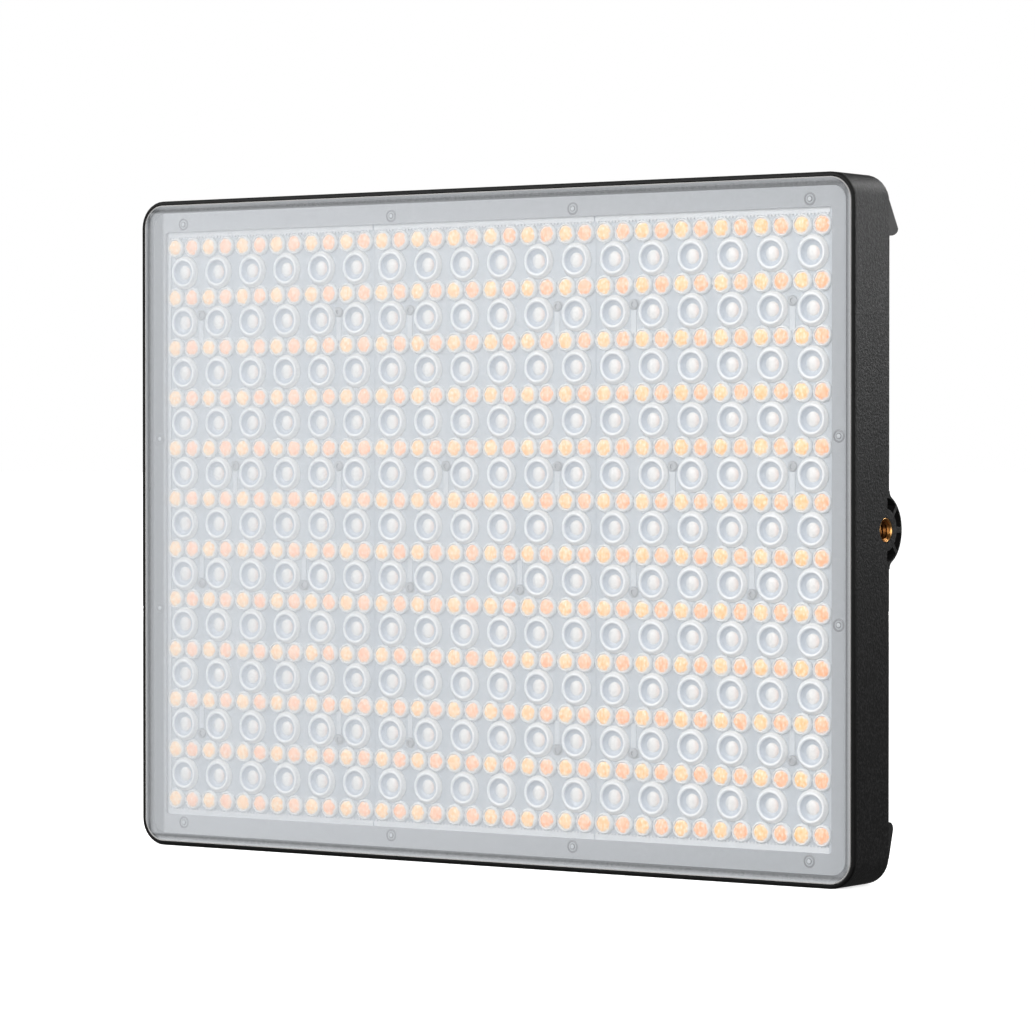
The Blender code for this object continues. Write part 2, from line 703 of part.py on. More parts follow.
def lens_panel(side_name, side):
    """Moulded lens panel: a face sheet with a skirt that stands on the LED board."""
    mesh = bmesh.new()
    centre = side * LENS_PANEL_WIDTH
    width = LENS_PANEL_WIDTH - GAP
    outer = rectangle(width, LENS_PANEL_HEIGHT, (centre, 0))
    inner = rectangle(width - 2 * LENS_SKIRT, LENS_PANEL_HEIGHT - 2 * LENS_SKIRT, (centre, 0))
    floor = LENS_FRONT + LENS_FACE
    rings = [
        [placed(a, b, floor, "Y") for a, b in inner],
        [placed(a, b, LENS_BACK, "Y") for a, b in inner],
        [placed(a, b, LENS_BACK, "Y") for a, b in outer],
        [placed(a, b, LENS_FRONT, "Y") for a, b in outer],
    ]
    loft(mesh, rings)
    add_object(f"lens_panel_{side_name}", mesh, "lens")


def led_board(side_name, side):
    mesh = bmesh.new()
    size = (LENS_PANEL_WIDTH - GAP, LENS_PANEL_HEIGHT, BOARD_CORNER)
    outline = shifted(rounded_outline(*size, 2), (side * LENS_PANEL_WIDTH, 0))
    prism(mesh, outline, BOARD_FRONT, BOARD_BACK)
    add_object(f"led_board_{side_name}", mesh, "white_board")


def heat_sink():
    """Aluminium base plate with upright fins and a slot for the LED wiring."""
    mesh = bmesh.new()
    prism(mesh, rounded_outline(SINK_WIDTH, SINK_HEIGHT, 4 * MM, 3), SINK_FRONT, SINK_BASE_BACK)
    sink = add_object("heat_sink", mesh, "aluminium")
    fins = bmesh.new()
    root = SINK_BASE_BACK - GAP
    for index in range(FIN_COUNT):
        across = (index - (FIN_COUNT - 1) / 2) * FIN_PITCH
        middle = (root + FIN_BACK) / 2
        box(fins, (across, middle, 0), (FIN_THICKNESS, FIN_BACK - root, FIN_HEIGHT))
    fuse(sink, fins)
    passage = bmesh.new()
    box(passage, (0, SINK_FRONT, CABLE_HEIGHT), (CABLE_SLOT[0], 4 * WALL, CABLE_SLOT[1]))
    cut(sink, passage)


# Electronics bay -----------------------------------------------------------------------------------------


def rear_cover():
    """Raised cover over the electronics, hollow and open towards the tray."""
    mesh = bmesh.new()
    front = TRAY_DEPTH + GAP

    def bay_ring(inset, depth):
        return sized_ring((BAY_WIDTH - 2 * inset, BAY_HEIGHT - 2 * inset, BAY_RADIUS - inset), depth)

    rings = [
        bay_ring(0, front),
        bay_ring(0, BAY_FACE - BAY_CHAMFER),
        bay_ring(BAY_CHAMFER_MIDDLE, BAY_FACE - BAY_CHAMFER_MIDDLE),
        bay_ring(BAY_CHAMFER, BAY_FACE),
    ]
    loft(mesh, rings)
    cover = add_object("rear_cover", mesh, "black_plastic")
    hollow = bmesh.new()
    roof = BAY_FACE - BAY_ROOF
    rings = [
        bay_ring(BAY_WALL, front - 1 * MM),
        bay_ring(BAY_WALL, roof - BAY_CHAMFER / 2),
        bay_ring(BAY_WALL + BAY_CHAMFER / 2, roof),
    ]
    loft(hollow, rings)
    cut(cover, hollow)
    posts = bmesh.new()
    for place in SCREW_PLACES:
        prism(posts, circle(SCREW_POST_RADIUS, SMALL_STEPS, place), front, BAY_FACE - BAY_ROOF / 2)
    fuse(cover, posts)
    cut(cover, rear_cover_holes())
    cut(cover, rear_cover_ledges())


def rear_cover_holes():
    """Openings right through the roof and the side walls."""
    mesh = bmesh.new()
    low = TRAY_DEPTH
    high = PANEL_DEPTH
    for place in SCREW_PLACES:
        prism(mesh, circle(SCREW_HOLE_RADIUS, SMALL_STEPS, place), low, high)
    bezel_hole = rounded_outline(BEZEL[0] - 2 * BEZEL_LEDGE, BEZEL[1] - 2 * BEZEL_LEDGE, BEZEL[2], 3)
    prism(mesh, shifted(bezel_hole, (0, BEZEL_HEIGHT)), low, high)
    body = (SWITCH_BODY[0] + 2 * GAP, SWITCH_BODY[1] + 2 * GAP, SWITCH_BODY[2])
    prism(mesh, shifted(rounded_outline(*body, 2), (0, SWITCH_PLACE_HEIGHT)), low, high)
    prism(mesh, circle(JACK_BODY_RADIUS + GAP, ROUND_STEPS, (0, JACK_PLACE_HEIGHT)), low, high)
    prism(mesh, usb_outline(USB_SHELL, GAP), low, high)
    for side in (-1, 1):
        tail = rectangle(
            TERMINAL_TAIL[0] + 2 * GAP,
            TERMINAL_TAIL[1] + 2 * GAP,
            (side * PLATE_X, PLATE_HEIGHT + TERMINAL_MIDDLE),
        )
        prism(mesh, tail, low, high)
        for index in range(BAY_SIDE_VENT_COUNT):
            height = (index - (BAY_SIDE_VENT_COUNT - 1) / 2) * BAY_SIDE_VENT_PITCH
            vent = slot(BAY_SIDE_VENT_LENGTH, SLOT_WIDTH, (24 * MM, height), upright=True)
            wall = side * BAY_WIDTH / 2
            prism(mesh, vent, wall - 2 * BAY_WALL, wall + 1 * MM, "X")
    for place in BAY_VENT_PLACES:
        prism(mesh, slot(BAY_VENT_LENGTH, SLOT_WIDTH, place, upright=True), low, high)
    return mesh


def rear_cover_ledges():
    """Shallow seats for the bezel and the screw heads."""
    mesh = bmesh.new()
    high = PANEL_DEPTH
    seat = rounded_outline(BEZEL[0] + 2 * GAP, BEZEL[1] + 2 * GAP, BEZEL[2] + GAP)
    prism(mesh, shifted(seat, (0, BEZEL_HEIGHT)), BAY_FACE - BEZEL_THICKNESS - GAP, high)
    for place in SCREW_PLACES:
        prism(mesh, circle(SCREW_WELL_RADIUS, SMALL_STEPS, place), BAY_FACE - SCREW_WELL_DEPTH, high)
    return mesh


def case_screw(index, place):
    """Machine screw with a socket in its head."""
    seat = BAY_FACE - SCREW_WELL_DEPTH + FINE_GAP
    top = seat + SCREW_HEAD_HEIGHT
    profile = [
        (SCREW_TIP_RADIUS, SCREW_TIP),
        (SCREW_SHANK_RADIUS, SCREW_TIP + SCREW_BEVEL),
        (SCREW_SHANK_RADIUS, seat),
        (SCREW_HEAD_RADIUS, seat),
        (SCREW_HEAD_RADIUS, top - SCREW_BEVEL),
        (SCREW_HEAD_RADIUS - SCREW_BEVEL, top),
        (SCREW_SOCKET_RADIUS, top),
        (SCREW_SOCKET_RADIUS, top - SCREW_SOCKET_DEPTH),
    ]
    mesh = bmesh.new()
    turned(mesh, profile, 12)
    bmesh.ops.translate(mesh, verts=mesh.verts, vec=(place[0], 0, place[1]))
    add_object(f"case_screw_{index}", mesh, "black_steel", (place[0], seat, place[1]))


# Controls ------------------------------------------------------------------------------------------------


def button_places():
    middle = (len(BUTTON_NAMES) - 1) / 2
    return [(name, (index - middle) * BUTTON_PITCH) for index, name in enumerate(BUTTON_NAMES)]


def control_bezel():
    """Inlaid plate around the display, the buttons and the knobs."""
    mesh = bmesh.new()
    outline = shifted(rounded_outline(*BEZEL), (0, BEZEL_HEIGHT))
    prism(mesh, outline, BAY_FACE - BEZEL_THICKNESS, BAY_FACE)
    bezel = add_object("control_bezel", mesh, "dark_plastic")
    holes = bmesh.new()
    low = BAY_FACE - 2 * BEZEL_THICKNESS
    high = BAY_FACE + BEZEL_THICKNESS
    prism(holes, shifted(rounded_outline(*WINDOW, 3), (0, WINDOW_HEIGHT)), low, high)
    clear = (BUTTON[0] + GAP, BUTTON[1] + GAP, BUTTON[2] + GAP / 2)
    for _, across in button_places():
        prism(holes, shifted(rounded_outline(*clear, 3), (across, BUTTON_HEIGHT)), low, high)
    for side in (-1, 1):
        prism(holes, circle(BUSHING_HOLE, SMALL_STEPS, (side * KNOB_PLACE[0], KNOB_PLACE[1])), low, high)
    cut(bezel, holes)


def display():
    """Display module behind the bezel and the clear window in front of it."""
    mesh = bmesh.new()
    prism(mesh, shifted(rounded_outline(*DISPLAY, 2), (0, WINDOW_HEIGHT)), DISPLAY_FRONT, DISPLAY_BACK)
    add_object("display_module", mesh, "steel")
    size = (WINDOW[0] - 2 * FINE_GAP, WINDOW[1] - 2 * FINE_GAP, WINDOW[2] - FINE_GAP)
    window = bmesh.new()
    outline = shifted(rounded_outline(*size, 3), (0, WINDOW_HEIGHT))
    prism(window, outline, BAY_FACE - BEZEL_THICKNESS, BAY_FACE - FINE_GAP)
    add_object("display_window", window, "glass")


def push_button(name, across):
    """Key cap held under the bezel by a flange; its stem ends above the switch on the board."""
    mesh = bmesh.new()
    centre = (across, BUTTON_HEIGHT)
    top = (BUTTON[0] - 2 * BUTTON_EDGE, BUTTON[1] - 2 * BUTTON_EDGE, BUTTON[2] - BUTTON_EDGE)
    cap_low, cap_high = BUTTON_FLANGE_SPAN
    rings = [
        sized_ring(BUTTON, BUTTON_FOOT, centre),
        sized_ring(BUTTON, cap_low, centre),
        sized_ring(BUTTON_FLANGE, cap_low, centre),
        sized_ring(BUTTON_FLANGE, cap_high, centre),
        sized_ring(BUTTON, cap_high, centre),
        sized_ring(BUTTON, BUTTON_TOP - BUTTON_EDGE, centre),
        sized_ring(top, BUTTON_TOP, centre),
    ]
    rings = [ring[::2] for ring in rings]
    loft(mesh, rings)
    add_object(name, mesh, "rubber", (across, BUTTON_TOP, BUTTON_HEIGHT))


def control_board():
    """Board behind the bezel, with a switch under each button."""
    mesh = bmesh.new()
    back = CONTROL_BOARD_FRONT + BOARD_THICKNESS
    outline = shifted(rounded_outline(*CONTROL_BOARD, 2), (0, BEZEL_HEIGHT))
    prism(mesh, outline, CONTROL_BOARD_FRONT, back)
    board = add_object("control_board", mesh, "green_board")
    switches = bmesh.new()
    for _, across in button_places():
        size = (SWITCH_SIZE[0], SWITCH_BACK - back + GAP, SWITCH_SIZE[1])
        box(switches, (across, SWITCH_BACK - size[1] / 2, BUTTON_HEIGHT), size)
    fuse(board, switches)


def encoder(name, side):
    """Rotary encoder: body with a threaded bushing, a rotor inside it, and the knob on its shaft."""
    place = (side * KNOB_PLACE[0], KNOB_PLACE[1])
    body = bmesh.new()
    square = sized_ring(ENCODER_BODY, ENCODER_FRONT)
    loft(body, [square, sized_ring(ENCODER_BODY, ENCODER_BODY_BACK)])
    bmesh.ops.translate(body, verts=body.verts, vec=(place[0], 0, place[1]))
    shell = add_object(f"{name}_encoder", body, "steel")
    bushing = bmesh.new()
    prism(bushing, circle(BUSHING_RADIUS, ROUND_STEPS, place), ENCODER_BODY_BACK - MM, BUSHING_BACK)
    fuse(shell, bushing)
    bore = bmesh.new()
    cavity = circle(ENCODER_CAVITY_RADIUS, ROUND_STEPS)
    tunnel = circle(SHAFT_BORE, ROUND_STEPS)
    rings = [
        [Vector((a, ENCODER_FRONT - MM, b)) for a, b in cavity],
        [Vector((a, ENCODER_CAVITY_BACK, b)) for a, b in cavity],
        [Vector((a, ENCODER_CAVITY_BACK, b)) for a, b in tunnel],
        [Vector((a, BUSHING_BACK + MM, b)) for a, b in tunnel],
    ]
    loft(bore, rings)
    bmesh.ops.translate(bore, verts=bore.verts, vec=(place[0], 0, place[1]))
    cut(shell, bore)
    encoder_rotor(name, place)
    knob(name, place)


def encoder_rotor(name, place):
    mesh = bmesh.new()
    low, high = ROTOR_SPAN
    profile = [(ROTOR_RADIUS, low), (ROTOR_RADIUS, high), (ROTOR_BORE, high), (ROTOR_BORE, low)]
    turned(mesh, profile, closed=True)
    bmesh.ops.translate(mesh, verts=mesh.verts, vec=(place[0], 0, place[1]))
    add_object(f"{name}_rotor", mesh, "white_plastic", (place[0], low, place[1]))


def knob(name, place):
    """Knob with a dished top and its shaft."""
    top = PANEL_DEPTH
    profile = [
        (SHAFT_RADIUS, SHAFT_FRONT),
        (SHAFT_RADIUS, KNOB_FRONT + GAP),
        (KNOB_RADIUS - 2 * KNOB_EDGE, KNOB_FRONT + GAP),
        (KNOB_RADIUS - KNOB_EDGE, KNOB_FRONT),
        (KNOB_RADIUS, KNOB_FRONT + KNOB_EDGE),
        (KNOB_RADIUS - KNOB_DRAFT, top - KNOB_EDGE),
        (KNOB_RADIUS - KNOB_DRAFT - KNOB_EDGE, top),
        (KNOB_RADIUS - 2 * KNOB_EDGE, top),
        (KNOB_RADIUS - 3 * KNOB_EDGE, top - KNOB_DISH),
    ]
    mesh = bmesh.new()
    turned(mesh, profile, KNOB_STEPS)
    bmesh.ops.translate(mesh, verts=mesh.verts, vec=(place[0], 0, place[1]))
    add_object(f"{name}_knob", mesh, "rubber", (place[0], KNOB_FRONT, place[1]))


# Battery plates ------------------------------------------------------------------------------------------


def battery_plate(side_name, side):
    """Sled for a camcorder battery: a base plate, two side rails and four inward lips."""
    centre = (side * PLATE_X, PLATE_HEIGHT)
    mesh = bmesh.new()
    prism(mesh, shifted(rounded_outline(*PLATE, 3), centre), PLATE_FRONT, PLATE_FACE)
    plate = add_object(f"battery_plate_{side_name}", mesh, "dark_plastic")
    rails = bmesh.new()
    root = PLATE_FACE - GAP
    rail_length = PLATE[1] - 2 * PLATE[2]
    for hand in (-1, 1):
        edge = centre[0] + hand * PLATE[0] / 2
        inner = edge - hand * RAIL_WIDTH
        rail = [(edge, root), (edge, RAIL_BACK), (inner, RAIL_BACK), (inner, root)]
        prism(rails, rail, centre[1] - rail_length / 2, centre[1] + rail_length / 2, "Z")
    fuse(plate, rails)
    lips = bmesh.new()
    for hand in (-1, 1):
        edge = centre[0] + hand * PLATE[0] / 2
        for height in LIP_PLACES:
            width = RAIL_WIDTH / 2 + LIP_REACH
            middle = (
                edge - hand * (RAIL_WIDTH / 2 + width / 2),
                RAIL_BACK - LIP_THICKNESS / 2 - FINE_GAP,
                centre[1] + height,
            )
            box(lips, middle, (width, LIP_THICKNESS, LIP_LENGTH))
    fuse(plate, lips)
    openings = bmesh.new()
    latch_slot = rectangle(*LATCH_SLOT, (centre[0], centre[1] + LATCH_SLOT_MIDDLE))
    prism(openings, latch_slot, PLATE_FRONT - MM, PLATE_FACE + MM)
    tail = rectangle(
        TERMINAL_TAIL[0] + 2 * GAP,
        TERMINAL_TAIL[1] + 2 * GAP,
        (centre[0], centre[1] + TERMINAL_MIDDLE),
    )
    prism(openings, tail, PLATE_FRONT - MM, PLATE_FACE + MM)
    cut(plate, openings)


def battery_terminal(side_name, side):
    """Contact block with three blades that point down towards the battery."""
    across = side * PLATE_X
    height = PLATE_HEIGHT + TERMINAL_MIDDLE
    mesh = bmesh.new()
    front = PLATE_FACE + FINE_GAP
    block_middle = (front + TERMINAL_BACK) / 2
    box(mesh, (across, block_middle, height), (TERMINAL[0], TERMINAL_BACK - front, TERMINAL[1]))
    block = add_object(f"battery_terminal_{side_name}", mesh, "brass")
    extras = bmesh.new()
    tail_middle = (TERMINAL_TAIL_FRONT + front + MM) / 2
    tail_size = (TERMINAL_TAIL[0], front + MM - TERMINAL_TAIL_FRONT, TERMINAL_TAIL[1])
    box(extras, (across, tail_middle, height), tail_size)
    blade_middle = (BLADE_SPAN[0] + BLADE_SPAN[1]) / 2
    blade_top = height - TERMINAL[1] / 2 + MM
    for index in (-1, 0, 1):
        middle = (across + index * BLADE_PITCH, blade_middle, blade_top - BLADE_LENGTH / 2)
        box(extras, middle, (BLADE_WIDTH, BLADE_SPAN[1] - BLADE_SPAN[0], BLADE_LENGTH))
    fuse(block, extras)


def battery_latch(side_name, side):
    """Sliding latch with a ramped tooth and a thumb ridge."""
    across = side * PLATE_X
    height = PLATE_HEIGHT + LATCH_MIDDLE
    low, high = LATCH_SPAN
    half = LATCH_BODY[1] / 2
    tooth = high + LATCH_TOOTH_HEIGHT
    side_view = [
        (low, height - half),
        (low, height + half),
        (high, height + half),
        (tooth, height + half - 2 * MM),
        (tooth, height + half - 4 * MM),
        (high, height + half - 5 * MM),
        (high, height - half + 4 * MM),
        (high + MM, height - half + 3 * MM),
        (high, height - half + 2 * MM),
        (high, height - half),
    ]
    mesh = bmesh.new()
    prism(mesh, side_view, across - LATCH_BODY[0] / 2, across + LATCH_BODY[0] / 2, "X")
    add_object(f"battery_latch_{side_name}", mesh, "dark_plastic", (across, high, height))


def latch_spring(side_name, side):
    """Coil spring that pushes the latch up."""
    low, high = SPRING_SPAN
    count = SPRING_TURNS * SPRING_STEPS
    curve = bpy.data.curves.new(f"latch_spring_{side_name}", "CURVE")
    curve.dimensions = "3D"
    coil = curve.splines.new("POLY")
    coil.points.add(count)
    for step in range(count + 1):
        turn = 2 * math.pi * step / SPRING_STEPS
        rise = low + (high - low) * step / count
        coil.points[step].co = (SPRING_RADIUS * math.cos(turn), SPRING_RADIUS * math.sin(turn), rise, 1)
    curve.bevel_depth = SPRING_WIRE
    curve.bevel_resolution = 0
    curve.use_fill_caps = True
    curve.materials.append(material("steel"))
    add_curve(curve, (side * PLATE_X, SPRING_DEPTH, PLATE_HEIGHT))


def add_curve(curve, place=(0, 0, 0)):
    made = bpy.data.objects.new(curve.name, curve)
    made.parent = PANEL_FRAME
    made.location = place
    bpy.context.scene.collection.objects.link(made)


# Power switch and sockets --------------------------------------------------------------------------------


def power_switch():
    """Switch housing with a cavity, and the rocker that tilts in it."""
    centre = (0, SWITCH_PLACE_HEIGHT)
    mesh = bmesh.new()
    rings = [
        sized_ring(SWITCH_BODY, SWITCH_FRONT, centre),
        sized_ring(SWITCH_BODY, SWITCH_FLANGE_SPAN[0], centre),
        sized_ring(SWITCH_FLANGE, SWITCH_FLANGE_SPAN[0], centre),
        sized_ring(SWITCH_FLANGE, SWITCH_FLANGE_SPAN[1], centre),
    ]
    loft(mesh, [ring[::3] for ring in rings])
    shell = add_object("power_switch_housing", mesh, "dark_plastic")
    cavity = bmesh.new()
    prism(cavity, shifted(rounded_outline(*SWITCH_CAVITY, 1), centre), SWITCH_CAVITY_FRONT, PANEL_DEPTH)
    cut(shell, cavity)
    power_rocker()


def power_rocker():
    """Rocker with a shallow V on top and a round belly, at rest tilted to its off side."""
    profile = [(-ROCKER_HALF_LENGTH, ROCKER_END), (-ROCKER_HALF_LENGTH, 0)]
    profile += [(ROCKER_BELLY * a, ROCKER_BELLY * b) for a, b in arc(0, 0, 1, 200, 340, 6)]
    profile += [(ROCKER_HALF_LENGTH, 0), (ROCKER_HALF_LENGTH, ROCKER_END), (0, ROCKER_VALLEY)]
    mesh = bmesh.new()
    prism(mesh, profile, -ROCKER_HALF_HEIGHT, ROCKER_HALF_HEIGHT, "Z")
    tilt = Matrix.Rotation(math.radians(-ROCKER_TILT), 3, "Z")
    bmesh.ops.rotate(mesh, verts=mesh.verts, matrix=tilt)
    place = (0, ROCKER_PIVOT, SWITCH_PLACE_HEIGHT)
    bmesh.ops.translate(mesh, verts=mesh.verts, vec=place)
    add_object("power_rocker", mesh, "dark_plastic", place)


def dc_jack():
    """Barrel socket with a centre pin."""
    mesh = bmesh.new()
    profile = [
        (JACK_BODY_RADIUS, JACK_FRONT),
        (JACK_BODY_RADIUS, BAY_FACE + GAP),
        (JACK_FLANGE_RADIUS, BAY_FACE + GAP),
        (JACK_FLANGE_RADIUS, JACK_BACK - GAP),
        (JACK_FLANGE_RADIUS - GAP, JACK_BACK),
        (JACK_SOCKET_RADIUS, JACK_BACK),
        (JACK_SOCKET_RADIUS, JACK_FLOOR),
        (JACK_PIN_RADIUS, JACK_FLOOR),
        (JACK_PIN_RADIUS, JACK_PIN_BACK),
    ]
    turned(mesh, profile)
    bmesh.ops.translate(mesh, verts=mesh.verts, vec=(0, 0, JACK_PLACE_HEIGHT))
    add_object("dc_jack", mesh, "dark_plastic")


def usb_outline(size, margin=0):
    outline = slot(size[0] + 2 * margin, size[1] + 2 * margin, (0, USB_PLACE_HEIGHT))
    return outline


def usb_c_port():
    """Oval shell with a contact tongue."""
    mesh = bmesh.new()
    prism(mesh, usb_outline(USB_SHELL), USB_FRONT, USB_BACK)
    shell = add_object("usb_c_port", mesh, "steel")
    cavity = bmesh.new()
    prism(cavity, usb_outline(USB_CAVITY), USB_FLOOR, USB_BACK + MM)
    cut(shell, cavity)
    tongue = bmesh.new()
    middle = (USB_FRONT + MM / 2 + USB_TONGUE_BACK) / 2
    length = USB_TONGUE_BACK - USB_FRONT - MM / 2
    box(tongue, (0, middle, USB_PLACE_HEIGHT), (USB_TONGUE[0], length, USB_TONGUE[1]))
    fuse(shell, tongue)


# Driver board and wiring ---------------------------------------------------------------------------------


def driver_board():
    """Power board with inductors, connectors and a row of capacitors."""
    mesh = bmesh.new()
    back = DRIVER_FRONT + BOARD_THICKNESS
    prism(mesh, shifted(rounded_outline(*DRIVER_BOARD, 2), (0, DRIVER_HEIGHT)), DRIVER_FRONT, back)
    board = add_object("driver_board", mesh, "green_board")
    extras = bmesh.new()
    for place, size, height in DRIVER_BLOCKS:
        tall = height + GAP
        box(extras, (place[0], back + height - tall / 2, place[1]), (size[0], tall, size[1]))
    for place in CAPACITOR_PLACES:
        prism(extras, circle(CAPACITOR_RADIUS, SMALL_STEPS, place), back - GAP, back + CAPACITOR_HEIGHT)
    fuse(board, extras)


def bent_wire(name, start, lean, end, radius):
    """Insulated wire on a smooth curve from start to end, leaving and arriving along one direction."""
    curve = bpy.data.curves.new(name, "CURVE")
    curve.dimensions = "3D"
    line = curve.splines.new("POLY")
    line.points.add(WIRE_STEPS)
    first, last = Vector(start), Vector(end)
    handles = (first, first + Vector(lean), last - Vector(lean), last)
    for step in range(WIRE_STEPS + 1):
        t = step / WIRE_STEPS
        weights = ((1 - t) ** 3, 3 * t * (1 - t) ** 2, 3 * t**2 * (1 - t), t**3)
        point = sum((handle * weight for handle, weight in zip(handles, weights)), Vector())
        line.points[step].co = (*point, 1)
    curve.bevel_depth = radius
    curve.bevel_resolution = 2
    curve.use_fill_caps = True
    curve.materials.append(material("wire"))
    add_curve(curve)


def wiring():
    """LED harness through the heat sink, and a lead from each battery terminal to the driver board."""
    harness_start = (0, DRIVER_FRONT - GAP, CABLE_HEIGHT + MM)
    harness_end = (0, BOARD_BACK + GAP, CABLE_HEIGHT - MM)
    bent_wire("led_harness", harness_start, (0, -3 * MM, 0), harness_end, HARNESS_RADIUS)
    for side_name, side in (("left", -1), ("right", 1)):
        lead_depth = TERMINAL_TAIL_FRONT - GAP - WIRE_RADIUS
        start = (side * PLATE_X, lead_depth, PLATE_HEIGHT + TERMINAL_MIDDLE + 3 * MM)
        end = (side * LEAD_END[0], lead_depth - LEAD_STEP, LEAD_END[1])
        bent_wire(f"battery_lead_{side_name}", start, (0, 0, -7 * MM), end, WIRE_RADIUS)


def build():
    housing()
    threaded_inserts()
    corner_feet()
    front_diffuser()
    diffuser_gasket()
    reflector_frame()
    for side_name, side in PANEL_SIDES.items():
        lens_panel(side_name, side)
        led_board(side_name, side)
    heat_sink()
    rear_cover()
    for index, place in enumerate(SCREW_PLACES, 1):
        case_screw(index, place)
    control_bezel()
    display()
    for name, across in button_places():
        push_button(name, across)
    control_board()
    encoder("intensity", -1)
    encoder("colour", 1)
    for side_name, side in (("left", -1), ("right", 1)):
        battery_plate(side_name, side)
        battery_terminal(side_name, side)
        battery_latch(side_name, side)
        latch_spring(side_name, side)
    power_switch()
    dc_jack()
    usb_c_port()
    driver_board()
    wiring()


clear_scene()
PANEL_FRAME = make_panel_frame()
build()
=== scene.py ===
"""LED panel light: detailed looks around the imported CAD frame."""

import json
import math

import bmesh
import bpy
import numpy as np
from mathutils import Matrix, Vector

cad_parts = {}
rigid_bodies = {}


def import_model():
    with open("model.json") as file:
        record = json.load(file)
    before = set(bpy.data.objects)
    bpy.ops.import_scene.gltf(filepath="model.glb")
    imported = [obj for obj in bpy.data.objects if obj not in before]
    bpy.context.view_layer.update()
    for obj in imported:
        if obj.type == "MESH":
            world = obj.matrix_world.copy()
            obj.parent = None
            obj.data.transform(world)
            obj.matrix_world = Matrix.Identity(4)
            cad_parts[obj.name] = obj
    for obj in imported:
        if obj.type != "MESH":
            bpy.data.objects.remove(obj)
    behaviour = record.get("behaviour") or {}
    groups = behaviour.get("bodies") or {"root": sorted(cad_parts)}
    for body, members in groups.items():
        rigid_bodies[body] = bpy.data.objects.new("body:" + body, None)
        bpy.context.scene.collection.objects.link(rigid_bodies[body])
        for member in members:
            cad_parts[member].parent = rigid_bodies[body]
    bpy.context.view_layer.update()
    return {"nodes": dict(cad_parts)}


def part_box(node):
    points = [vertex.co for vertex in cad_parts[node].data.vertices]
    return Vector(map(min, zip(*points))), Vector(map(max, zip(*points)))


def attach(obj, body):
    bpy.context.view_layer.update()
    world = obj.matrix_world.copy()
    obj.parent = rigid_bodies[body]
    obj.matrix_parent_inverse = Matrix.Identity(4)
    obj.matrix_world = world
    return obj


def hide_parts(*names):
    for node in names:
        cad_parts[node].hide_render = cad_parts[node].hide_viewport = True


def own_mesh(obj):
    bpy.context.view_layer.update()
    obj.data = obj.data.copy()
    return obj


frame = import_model()

MM = 0.001
BODY = "panel"

# Frame sizes, read from the CAD model -----------------------------------------

LOW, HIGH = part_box("housing")
FRONT = LOW.y
MIDDLE_Z = (LOW.z + HIGH.z) / 2
HALF_WIDTH = (HIGH.x - LOW.x) / 2
HALF_HEIGHT = (HIGH.z - LOW.z) / 2

# Lens grid --------------------------------------------------------------------

PANEL_NAMES = ("left", "centre", "right")
COLUMNS = 6
ROWS = 11
LENS_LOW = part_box("lens_panel_centre")[0]
PITCH_X = (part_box("lens_panel_right")[0].x - LENS_LOW.x) / COLUMNS
PITCH_Z = 15.937 * MM
LENS_TOP = LENS_LOW.y
PLATE_FACE = LENS_TOP + 1.35 * MM

# Turned outlines are (radius, depth) pairs in millimetres. Flutes give some of their rings teeth.
BIG_STEPS = 112
BIG_PROFILE = (
    (0, 1.7), (5.1, 1.7), (5.3, 1.28), (5, 0.85), (4.6, 0.34), (4.28, 0.03), (4.08, 0),
    (3.88, 0.07), (3.4, 0.85), (2.95, 1.25), (0, 1.5),
)
BIG_FLUTES = {2: 0.16, 3: 0.14, 4: 0.08}
LED_STEPS = 32
LED_PROFILE = ((0, 1.6), (2.3, 1.6), (2.25, 1.36), (2.05, 1.12), (1.6, 0.95), (1, 0.86), (0, 0.82))
SMALL_STEPS = 36
SMALL_PROFILE = (
    (0, 1.7), (3.05, 1.7), (3.25, 1.2), (3.1, 0.75), (2.9, 0.45), (2.72, 0.32), (2.58, 0.42),
    (2.5, 0.8), (0, 0.8),
)
SMALL_FLUTES = {2: 0.1, 3: 0.09, 4: 0.05}
SMALL_WAVE = 3
CORE_PROFILE = (
    (0, 1), (2.55, 1), (2.5, 0.66), (2.25, 0.46), (1.7, 0.32), (1.1, 0.26), (0.5, 0.23), (0, 0.22),
)
CORE_FLUTES = {1: 0.1, 2: 0.12, 3: 0.06}
CORE_WAVE = 6
BLOB_STEPS = 32
BLOB_PROFILE = ((0, 0.3), (2.5, 0.3), (2.5, -0.02), (1.9, -0.03), (1.2, -0.035), (0, -0.04))
BLOB_SQUASH = 0.68
HEAD_STEPS = 24
HEAD_PROFILE = (
    (0, 0.3), (1.5, 0.3), (1.5, -0.25), (1.3, -0.45), (0.75, -0.5), (0.7, -0.2), (0, -0.2),
)

EDGE_RIM = 1.0 * MM
SEAM_RIM = 0.22 * MM
STRIP = 1.3 * MM
WINDOW_GAP = 0.35 * MM
BORDER_RISE = 0.35 * MM
SEAM_RISE = 0.1 * MM
SUNK = 0.2 * MM
TOOTH_PITCH = 1.2 * MM
TOOTH_REACH = 0.5 * MM
TOOTH_SHARE = 0.55
TOOTH_DROP = 0.05 * MM
TOOTH_SUNK = 0.1 * MM
RIB_HALF = 0.9 * MM
RIB_RISE = 0.22 * MM
RIB_ENDS = (1.6 * MM, 8.6 * MM)
PLATE_TONE = (0.52, 0.55, 0.58)

# Each lens screw as its column, its row and the side, up or down, on which its rib runs
SCREW_CELLS = (
    (0.5, 0.855, -1), (4.5, 0.855, -1), (1.5, 3.85, -1), (4.5, 3.85, -1),
    (0.5, 6.18, 1), (3.5, 6.18, 1), (0.5, 9.17, 1), (4.5, 9.17, 1),
)


